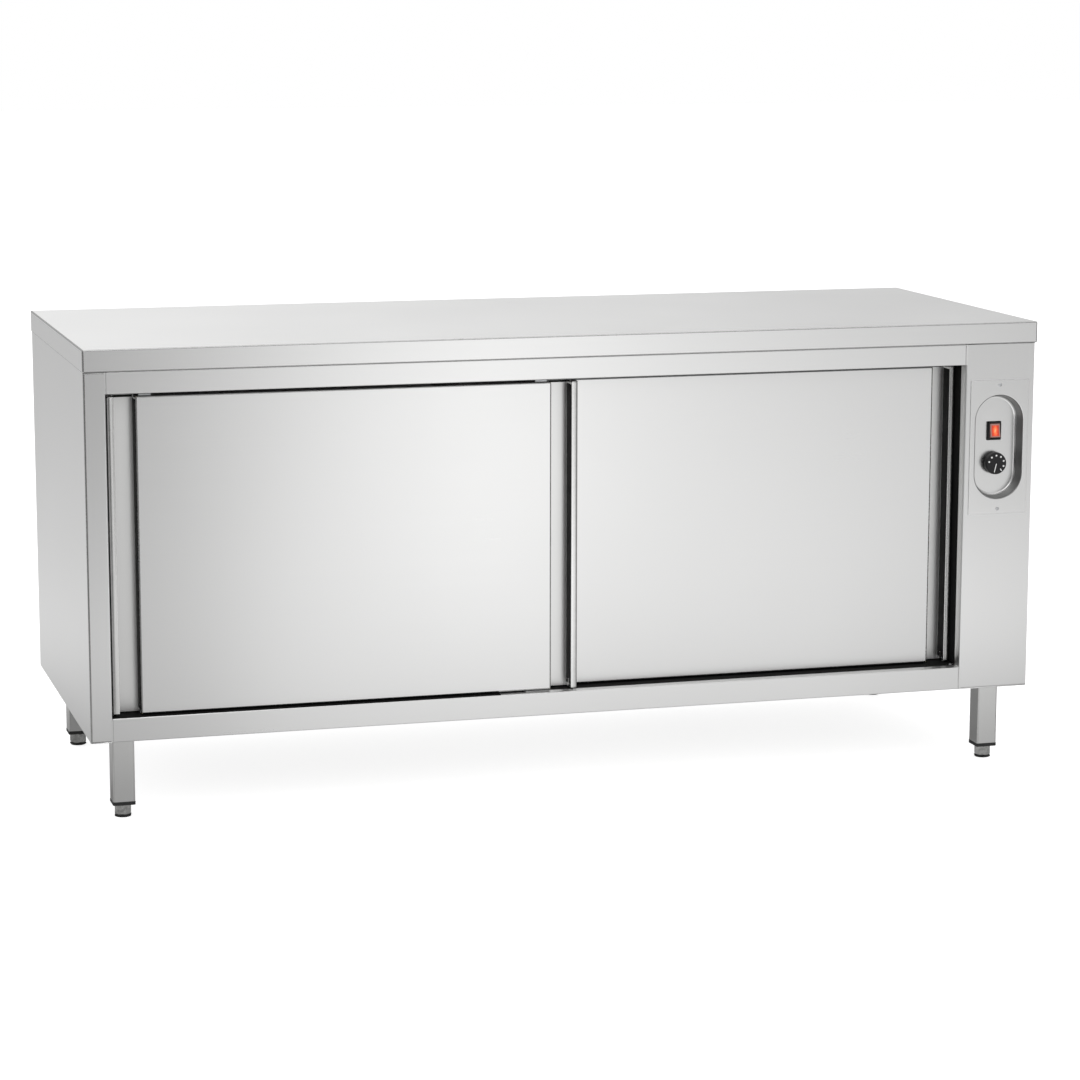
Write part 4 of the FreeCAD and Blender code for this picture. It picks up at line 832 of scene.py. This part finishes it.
def build_dish():
    low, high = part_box("control_dish")
    x0, z0 = (low.x + high.x) / 2, (low.z + high.z) / 2
    half_x, half_z = (high.x - low.x) / 2, (high.z - low.z) / 2
    front = low.y
    half_width, half_height = half_x - 11.5 * MM, half_z - 29.5 * MM
    depth = 25 * MM
    lean = math.radians(9)
    mouth_sweep = math.radians(81)
    mouth = 2.6 * MM
    foot = 4.0 * MM
    bm = bmesh.new()

    def ring(grow, y):
        return [bm.verts.new((x0 + x, y, z0 + z)) for x, z, *_ in stadium(half_width, half_height, grow)]

    outline = []
    for x, z, angle, rise in stadium(half_width, half_height, 0):
        c, s = math.cos(angle), math.sin(angle)
        to_end = (half_z - abs(rise)) / abs(s) if abs(s) > 1e-6 else 1e9
        reach = min(half_x / max(abs(c), 1e-6), to_end)
        outline.append([reach * c, rise + reach * s])
    for sx in (-1, 1):
        for sz in (-1, 1):
            nearest = min(outline, key=lambda p: (p[0] - sx * half_x) ** 2 + (p[1] - sz * half_z) ** 2)
            nearest[0], nearest[1] = sx * half_x, sz * half_z

    def border(inset, y):
        scale_x, scale_z = (half_x - inset) / half_x, (half_z - inset) / half_z
        return [bm.verts.new((x0 + x * scale_x, y, z0 + z * scale_z)) for x, z in outline]

    rings = [border(0, front + 1.2 * MM), border(0, front + 0.35 * MM), border(0.1 * MM, front + 0.1 * MM),
             border(0.35 * MM, front)]
    for degrees in (0, 20, 40, 60, 81):
        t = math.radians(degrees)
        rings.append(ring(mouth - mouth * math.sin(t), front + mouth * (1 - math.cos(t))))
    wall_start = mouth * (1 - math.cos(mouth_sweep))
    wall_end = depth - foot * (1 - math.sin(lean))
    shrink = mouth - mouth * math.sin(mouth_sweep)
    for share in (0.33, 0.66, 1.0):
        deep = wall_start + (wall_end - wall_start) * share
        rings.append(ring(shrink - (deep - wall_start) * math.tan(lean), front + deep))
    turn_in = shrink - (wall_end - wall_start) * math.tan(lean)
    for degrees in (25, 45, 65, 81):
        t = math.radians(degrees)
        rings.append(ring(
            turn_in - foot * (math.cos(lean) - math.cos(lean + t)),
            front + wall_end + foot * (math.sin(lean + t) - math.sin(lean)),
        ))
    ring_faces(bm, rings)
    # Painted shade: the dish wall and the rounding of its mouth are marked rougher and much darker, standing in
    # for the shade inside the dish.
    matt = bm.faces.layers.float.new("matt")
    for f in bm.faces:
        if front + 0.25 * MM < f.calc_center_median().y < front + wall_end + 0.4 * MM:
            f[matt] = 1.0
    switch_z, knob_z = middle("switch_housing")[2], middle("thermostat_knob")[2]
    level = rings[-1][0].co.y
    bore_radius = 3.3 * MM
    hole = [bm.verts.new((x0 + x, level, switch_z + z)) for x, z in rounded_rectangle(12.7 * MM, 16.2 * MM, MM, 2)]
    bore = []
    for i in range(16):
        angle = i * math.pi / 8
        bore.append(bm.verts.new((
            x0 + bore_radius * math.cos(angle), level, knob_z + bore_radius * math.sin(angle),
        )))
    edges = []
    for loop in (hole, bore):
        for a, b in zip(loop, loop[1:] + loop[:1]):
            edges.append(bm.edges.new((a, b)))
    for a, b in zip(rings[-1], rings[-1][1:] + rings[-1][:1]):
        edges.append(bm.edges.get((a, b)))
    bmesh.ops.triangle_fill(bm, use_beauty=True, use_dissolve=True, edges=edges)
    skin = bm.faces[:]
    bmesh.ops.recalc_face_normals(bm, faces=skin)
    piece = stand_in("control_dish", bm, DISH, "Z", smooth=50)
    shell = piece.modifiers.new("sheet", "SOLIDIFY")
    shell.thickness = 1.1 * MM
    shell.offset = -1
    piece.modifiers.move(1, 0)


build_dish()


def build_dish_screws():
    low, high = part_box("dish_screws")
    x0 = (low.x + high.x) / 2
    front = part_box("control_dish")[0].y
    radius = 3.5 * MM
    bm = bmesh.new()
    for z, twist in ((high.z - radius, 18), (low.z + radius, 62)):
        cross_screw(bm, (x0, front, z), "Y", -1, radius, 0.75 * MM, twist)
        turned(bm, [(0, 0), (1.45 * MM, 0), (1.45 * MM, 7 * MM), (0, 7.6 * MM)], (x0, front, z), "Y", 12)
    stand_in("dish_screws", bm, ZINC, "Y", smooth=40)


build_dish_screws()


def upright_to_front(edge):
    a, b = (v.co for v in edge.verts)
    return abs(a.y - b.y) > max(abs(a.x - b.x), abs(a.z - b.z)) and abs(a.y - b.y) > 1.5 * MM


SWITCH_FRONT = -0.320


def build_switch():
    def front_corner(edge):
        short = edge.calc_length() < 8 * MM
        return edge.is_convex and upright_to_front(edge) and short and edge.verts[0].co.y < SWITCH_FRONT

    for node, material, corner, ease in (
        ("switch_housing", BLACK, 1.6 * MM, 0.5 * MM),
        ("switch_rocker", LENS, 0.0, 0.9 * MM),
    ):
        bm = solid_copy(node)
        edge_shade = bm.faces.layers.float.new("edge_shade")
        if corner:
            round_edges(bm, corner, 4, front_corner, edge_shade)
        round_edges(bm, ease, 3, lambda e: e.is_convex, edge_shade)
        stand_in(node, bm, material, "Z")


build_switch()


def build_knob():
    low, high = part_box("thermostat_knob")
    x0, z0 = (low.x + high.x) / 2, (low.z + high.z) / 2
    back, front = high.y, low.y
    bm = bmesh.new()
    skirt = (high.x - low.x) / 2 * 0.96
    depth = back - front
    hub, bore = 5.2 * MM, 3.15 * MM
    outer = [
        (0, -depth + 0.35 * MM), (skirt * 0.30, -depth + 0.35 * MM), (skirt * 0.80, -depth + 0.30 * MM),
        (skirt * 0.855, -depth + 0.05 * MM), (skirt * 0.875, -depth), (skirt * 0.90, -depth + 0.05 * MM),
        (skirt * 0.93, -depth + 0.35 * MM), (skirt * 0.955, -depth + 1.1 * MM), (skirt * 0.972, -depth + 2.6 * MM),
        (skirt, -depth + 7.5 * MM), (skirt * 0.985, -depth + 10 * MM), (skirt * 0.84, -1.2 * MM),
        (skirt * 0.82, 0), (skirt * 0.74, 0), (skirt * 0.72, -0.4 * MM), (skirt * 0.72, -depth + 3.5 * MM),
        (hub, -depth + 3.5 * MM), (hub, 0), (bore, 0), (bore, -11.8 * MM), (0, -11.8 * MM),
    ]
    turned(bm, outer, (x0, back, z0), "Y", 144, flutes=36, flute_depth=0.28 * MM, flute_from=skirt * 0.95)
    stand_in("thermostat_knob", bm, KNOB, "Y")
    marks = bmesh.new()
    face = front + 0.35 * MM
    lift = 0.25 * MM
    dot_ring = 15.4 * MM
    dot = [(0, 0.05 * MM), (1.75 * MM, 0.05 * MM), (1.75 * MM, -0.6 * lift), (1.5 * MM, -lift), (0, -lift)]
    for angle in (166, 129, 92, 55, 18, -19):
        a = math.radians(angle)
        turned(marks, dot, (x0 + dot_ring * math.cos(a), face, z0 + dot_ring * math.sin(a)), "Y", 20)

    def stroke(angle, near, far, width):
        a = math.radians(angle)
        out = Vector((math.cos(a), 0, math.sin(a)))
        side = Vector((-math.sin(a), 0, math.cos(a)))
        origin = Vector((x0, face, z0))
        levels = ((0.05 * MM, 0.0), (-0.6 * lift, 0.0), (-lift, 0.18 * MM))
        rings = []
        for y, inset in levels:
            ring = []
            for k in range(12):
                t = math.pi * (k % 6) / 5 - math.pi / 2
                end, sign = (far, 1) if k < 6 else (near, -1)
                half = width / 2 - inset
                point = origin + out * (end + sign * half * math.cos(t)) + side * (sign * half * math.sin(t))
                point.y = face + y
                ring.append(marks.verts.new(point))
            rings.append(ring)
        ring_faces(marks, rings)
        marks.faces.new(rings[0])
        marks.faces.new(rings[-1])

    stroke(-52, 13.6 * MM, 18.2 * MM, 1.9 * MM)
    stroke(-104, 0.8 * MM, 16.4 * MM, 1.6 * MM)
    bmesh.ops.recalc_face_normals(marks, faces=marks.faces)
    finish_piece("knob_marks", marks, "thermostat_control", PRINT, "Z")


build_knob()


# ---- legs, feet and underside ----

def is_upright(edge):
    return abs(edge.verts[0].co.z - edge.verts[1].co.z) > 5 * MM


dress("legs", TUBE, grain="Z", bend=3.2 * MM, sheet=1.5 * MM, bend_pick=is_upright)
dress("leg_caps", grain="X", bend=3.2 * MM, sheet=3.2 * MM, ease=1.0 * MM, bend_pick=is_upright)
CREST, ROOT, PITCH = 4.9 * MM, 4.2 * MM, 1.5 * MM
for corner, twist in (("front_left", 17), ("front_right", 14), ("rear_left", 38), ("rear_right", 5)):
    low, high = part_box(corner + "_foot")
    x0, y0 = (low.x + high.x) / 2, (low.y + high.y) / 2
    top = 23.2 * MM
    bm = bmesh.new()
    hex_nut(bm, (x0, y0), high.y - low.y, low.z, top, twist)
    z = top - MM
    thread = [(0, z), (CREST, z)]
    while z < high.z - 3 * MM:
        thread += [(CREST, z + 0.5 * MM), (ROOT, z + 1.25 * MM)]
        z += PITCH
    thread += [(ROOT, high.z - MM), (3.6 * MM, high.z), (0, high.z)]
    turned(bm, thread, (x0, y0, 0), "Z", 20)
    stand_in(corner + "_foot", bm, FOOT, "Z", smooth=28)
    low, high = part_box(corner + "_foot_pad")
    bm = bmesh.new()
    hex_nut(bm, (x0, y0), high.y - low.y, low.z, high.z, twist, rim=2.0 * MM)
    edge_shade = bm.faces.layers.float.new("edge_shade")
    round_edges(bm, 0.8 * MM, 3, lambda e: e.is_convex, edge_shade)
    stand_in(corner + "_foot_pad", bm, RUBBER, "Z")


def build_gland():
    bm = solid_copy("cable_gland")
    edge_shade = bm.faces.layers.float.new("edge_shade")
    round_edges(bm, 0.4 * MM, 2, lambda e: e.is_convex, edge_shade)
    low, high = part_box("cable_gland")
    x0, y0 = (low.x + high.x) / 2, (low.y + high.y) / 2
    for i in range(18):
        a = 2 * math.pi * i / 18
        out = Vector((math.cos(a), math.sin(a), 0))
        side = Vector((-math.sin(a), math.cos(a), 0)) * 0.5 * MM
        rings = []
        for radius, z in ((8.4, low.z + 0.8 * MM), (10.9, low.z + 8.6 * MM)):
            base = Vector((x0, y0, z))
            inner, outer = out * (radius - 1.2) * MM, out * (radius + 0.5) * MM
            corners = (inner - side, outer - side, outer + side, inner + side)
            rings.append([bm.verts.new(base + p) for p in corners])
        ring_faces(bm, rings)
        bm.faces.new(rings[0])
        bm.faces.new(rings[1])
    bmesh.ops.recalc_face_normals(bm, faces=bm.faces)
    stand_in("cable_gland", bm, BLACK, "Z")


build_gland()


# ---- fasteners and the rear ----

def build_rail_screws():
    low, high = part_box("rail_screws")
    radius = 3.5 * MM
    bm = bmesh.new()
    for x in (low.x + radius, high.x - radius):
        for y, twist in ((low.y + radius, 25), (high.y - radius, 70)):
            cross_screw(bm, (x, y, low.z), "Z", 1, radius, high.z - low.z, twist)
    stand_in("rail_screws", bm, ZINC, "X", smooth=40)


def build_rear_rivets():
    low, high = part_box("rear_panel")
    bm = bmesh.new()
    inset = 12 * MM
    count = 9
    spots = []
    for i in range(count):
        x = low.x + inset + (high.x - low.x - 2 * inset) * i / (count - 1)
        spots += [(x, low.z + inset), (x, high.z - inset)]
    for x in (low.x + inset, high.x - inset):
        for share in (0.25, 0.5, 0.75):
            spots.append((x, low.z + (high.z - low.z) * share))
    dome = [(0, 1.35), (1.0, 1.3), (1.3, 1.1), (1.35, 0.75), (2.2, 0.65), (3.0, 0.4), (3.3, 0.0), (3.3, -0.3)]
    for x, z in spots:
        turned(bm, [(r * MM, h * MM) for r, h in dome], (x, high.y, z), "Y", 20)
    finish_piece("rear_rivets", bm, "cabinet", ZINC, "Y", smooth=40)


def build_louvres():
    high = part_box("rear_panel")[1]
    body_top = high.z
    x0 = middle("control_dish")[0]
    half = 45 * MM
    bm = bmesh.new()
    for index in range(8):
        z = body_top - 190 * MM + index * 14 * MM
        rings = []
        steps = 14
        for i in range(steps + 1):
            t = i / steps
            x = x0 - half - 1.5 * MM + (2 * half + 3 * MM) * t
            edge = min(1.0, min(t, 1 - t) * steps / 2.2)
            rise = math.sqrt(max(0.0, 1 - (1 - edge) ** 2))
            crest = 1.75 * MM * rise + 0.02 * MM
            top = z + 4 * MM + 2.4 * MM
            ring = []
            for height, out in (
                (top, 0.0), (top - 0.8 * MM, 0.35 * crest), (top - 2.2 * MM, 0.8 * crest), (z + 1.6 * MM, crest),
                (z + 0.6 * MM, crest), (z + 0.6 * MM, crest - 0.7 * MM * rise),
                (z + 1.8 * MM, crest - 0.8 * MM * rise), (top - 2.0 * MM, -0.3 * MM), (top, -0.3 * MM),
            ):
                ring.append(bm.verts.new((x, high.y + out, height)))
            rings.append(ring)
        ring_faces(bm, rings)
        bm.faces.new(rings[0])
        bm.faces.new(rings[-1])
    bmesh.ops.recalc_face_normals(bm, faces=bm.faces)
    finish_piece("rear_louvres", bm, "cabinet", SHEET, "X", smooth=60)


build_rail_screws()
build_rear_rivets()
build_louvres()

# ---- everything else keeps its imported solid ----

for node, item in frame["nodes"].items():
    item.data.materials.clear()
    item.data.materials.append(FINISH[SLOT_OF[node]])
    for face in item.data.polygons:
        face.material_index = 0


# ---- floor, world, lamps and camera ----

# The studio that glossy rays see; it is fixed in the room. Each row: degrees from the front towards the
# right, brightness near the floor, brightness near the horizon.
STUDIO = (
    (-180, 0.95, 0.56), (-165, 0.95, 0.54), (-150, 0.80, 0.52), (-120, 0.68, 0.54), (-95, 0.56, 0.50),
    (-75, 0.44, 0.40), (-55, 0.40, 0.36), (-35, 0.40, 0.34), (-18, 0.40, 0.28), (-8, 0.38, 0.22),
    (0, 0.43, 0.14), (3, 0.52, 0.12), (6, 0.66, 0.12), (9, 0.93, 0.21), (12, 1.34, 0.85), (15, 1.34, 1.62),
    (18, 1.30, 0.81), (21, 1.33, 0.66), (24, 1.17, 0.61), (27, 0.74, 0.58), (30, 0.52, 0.52), (35, 0.42, 0.42),
    (45, 0.42, 0.40), (65, 0.44, 0.42), (95, 0.54, 0.50), (130, 0.60, 0.54), (150, 0.58, 0.53),
    (158, 0.64, 0.585), (166, 0.78, 0.74), (173, 0.90, 0.92), (180, 0.95, 0.56),
)
OVERHEAD = (0.88, 0.88, 0.88)
FLOOR_HALF = 30.0
FLOOR_COLOUR = (0.9, 0.9, 0.9)
FLOOR_GLOW = 0.72
ROOM_LIGHT = 0.75
# The floor's tones fan out from this fixed point: the photo's camera place, mirrored in the door fronts.
FLOOR_FAN = (-1.678, 5.27, 0)
CABINET_HALF = (0.88, 0.33, 0)
SENSOR_WIDTH, LENS_LENGTH = 36, 108.107
CAMERA_PLACE = (-1.677713, -5.937704, 1.492194)
CAMERA_YAW_PITCH_ROLL = (16.0108, 9.8960, 0.0752)


def studio_tone(tree, vector, bearing=None):
    """The studio's brightness in the direction of a vector, or on the bearing of another one at its height."""
    unit = vector_calc(tree, "NORMALIZE", vector)
    height = add(tree, "SeparateXYZ", {"Vector": unit}).outputs["Z"]
    plan = add(tree, "SeparateXYZ", {"Vector": unit if bearing is None else bearing}).outputs
    angle = calc(tree, "ARCTAN2", plan["X"], calc(tree, "MULTIPLY", plan["Y"], -1.0))
    share = ranged(tree, angle, -math.pi, math.pi)
    near_floor, near_horizon = (
        ramp(tree, share, [((row[0] + 180) / 360, (row[column],) * 3) for row in STUDIO], "EASE")
        for column in (1, 2)
    )
    level = blend(tree, ranged(tree, height, -0.25, -0.02, smooth=True), near_floor, near_horizon)
    return blend(tree, ranged(tree, height, 0.35, 0.75, smooth=True), level, OVERHEAD)


def build_stage():
    bm = bmesh.new()
    corners = ((-1, -1), (1, -1), (1, 1), (-1, 1))
    bm.faces.new([bm.verts.new((x * FLOOR_HALF, y * FLOOR_HALF, 0)) for x, y in corners])
    mesh = bpy.data.meshes.new("floor")
    bm.to_mesh(mesh)
    bm.free()
    floor = bpy.data.objects.new("floor", mesh)
    bpy.context.scene.collection.objects.link(floor)
    material = bpy.data.materials.new("floor_white")
    material.use_nodes = True
    tree = material.node_tree
    tree.nodes.clear()
    path = add(tree, "LightPath").outputs
    lit = add(tree, "BsdfDiffuse", {"Color": FLOOR_COLOUR})
    glow = calc(tree, "MULTIPLY", path["Is Camera Ray"], FLOOR_GLOW)
    white = add(tree, "Emission", {"Color": (1, 1, 1), "Strength": glow})
    seen = add(tree, "AddShader", {0: lit.outputs[0], 1: white.outputs[0]})
    place = add(tree, "TexCoord").outputs["Object"]
    lower = vector_calc(tree, "SUBTRACT", place, (0, 0, 0.45))
    spot = add(tree, "SeparateXYZ", {"Vector": place}).outputs
    depth = ranged(tree, spot["Y"], -0.05, -0.34, smooth=True)
    centre = add(tree, "VectorMath", {0: FLOOR_FAN, "Scale": depth}, operation="SCALE").outputs["Vector"]
    tone = studio_tone(tree, lower, vector_calc(tree, "SUBTRACT", place, centre))
    # Painted shadow: the floor's glow as glossy rays see it is dimmed under the cabinet and rises to full over
    # about two metres around it, sooner to the left. It stands in for the cabinet's shadow in reflections.
    outside = vector_calc(tree, "SUBTRACT", vector_calc(tree, "ABSOLUTE", place), CABINET_HALF)
    clear = vector_calc(tree, "MAXIMUM", outside, (0, 0, 0))
    reach = vector_calc(tree, "LENGTH", clear, output="Value")
    beside = ranged(tree, spot["X"], -0.86, -1.10, 0.0, 1.2)
    fade = ranged(tree, calc(tree, "ADD", reach, beside), -0.30, 2.10, 0.40, 1.0, smooth=True)
    mirrored = add(tree, "Emission", {"Color": tone, "Strength": fade})
    mix = add(tree, "MixShader", {0: path["Is Glossy Ray"], 1: seen.outputs[0], 2: mirrored.outputs[0]})
    add(tree, "OutputMaterial", {"Surface": mix.outputs[0]})
    mesh.materials.append(material)


def build_world():
    world = bpy.data.worlds.new("studio")
    bpy.context.scene.world = world
    world.use_nodes = True
    tree = world.node_tree
    tree.nodes.clear()
    path = add(tree, "LightPath").outputs
    room = add(tree, "Background", {"Color": (1, 1, 1), "Strength": ROOM_LIGHT})
    tone = studio_tone(tree, add(tree, "TexCoord").outputs["Generated"])
    mirrored = add(tree, "Background", {"Color": tone, "Strength": 1.0})
    white = add(tree, "Background", {"Color": (1, 1, 1), "Strength": 1.0})
    glossy = add(tree, "MixShader", {0: path["Is Glossy Ray"], 1: room.outputs[0], 2: mirrored.outputs[0]})
    mix = add(tree, "MixShader", {0: path["Is Camera Ray"], 1: glossy.outputs[0], 2: white.outputs[0]})
    add(tree, "OutputWorld", {"Surface": mix.outputs[0]})


def lamp(name, place, target, size, power):
    data = bpy.data.lights.new(name, "AREA")
    data.shape = "RECTANGLE"
    data.size = data.size_y = size
    data.energy = power
    item = bpy.data.objects.new(name, data)
    bpy.context.scene.collection.objects.link(item)
    item.location = place
    item.rotation_euler = (Vector(target) - Vector(place)).to_track_quat("-Z", "Y").to_euler()
    item.visible_camera = False


def build_camera():
    data = bpy.data.cameras.new("camera")
    data.sensor_width = SENSOR_WIDTH
    data.lens = LENS_LENGTH
    data.clip_start = 0.1
    data.clip_end = 200
    camera = bpy.data.objects.new("camera", data)
    bpy.context.scene.collection.objects.link(camera)
    bpy.context.scene.camera = camera
    yaw, pitch, roll = (math.radians(a) for a in CAMERA_YAW_PITCH_ROLL)
    ahead = Vector((math.sin(yaw) * math.cos(pitch), math.cos(yaw) * math.cos(pitch), -math.sin(pitch)))
    right = Vector((math.cos(yaw), -math.sin(yaw), 0))
    up = right.cross(ahead)
    turned_right = math.cos(roll) * right + math.sin(roll) * up
    turned_up = math.cos(roll) * up - math.sin(roll) * right
    turn = Matrix((turned_right, turned_up, -ahead)).transposed()
    camera.matrix_world = Matrix.Translation(Vector(CAMERA_PLACE)) @ turn.to_4x4()


build_stage()
build_world()
lamp("key", (-1.4, -4.3, 3.9), (0, 0, 0.5), 3.6, 37)
lamp("top", (0.6, 0.2, 4.2), (0, 0, 0.8), 3.4, 30)
build_camera()
bpy.context.scene.view_settings.view_transform = "Standard"
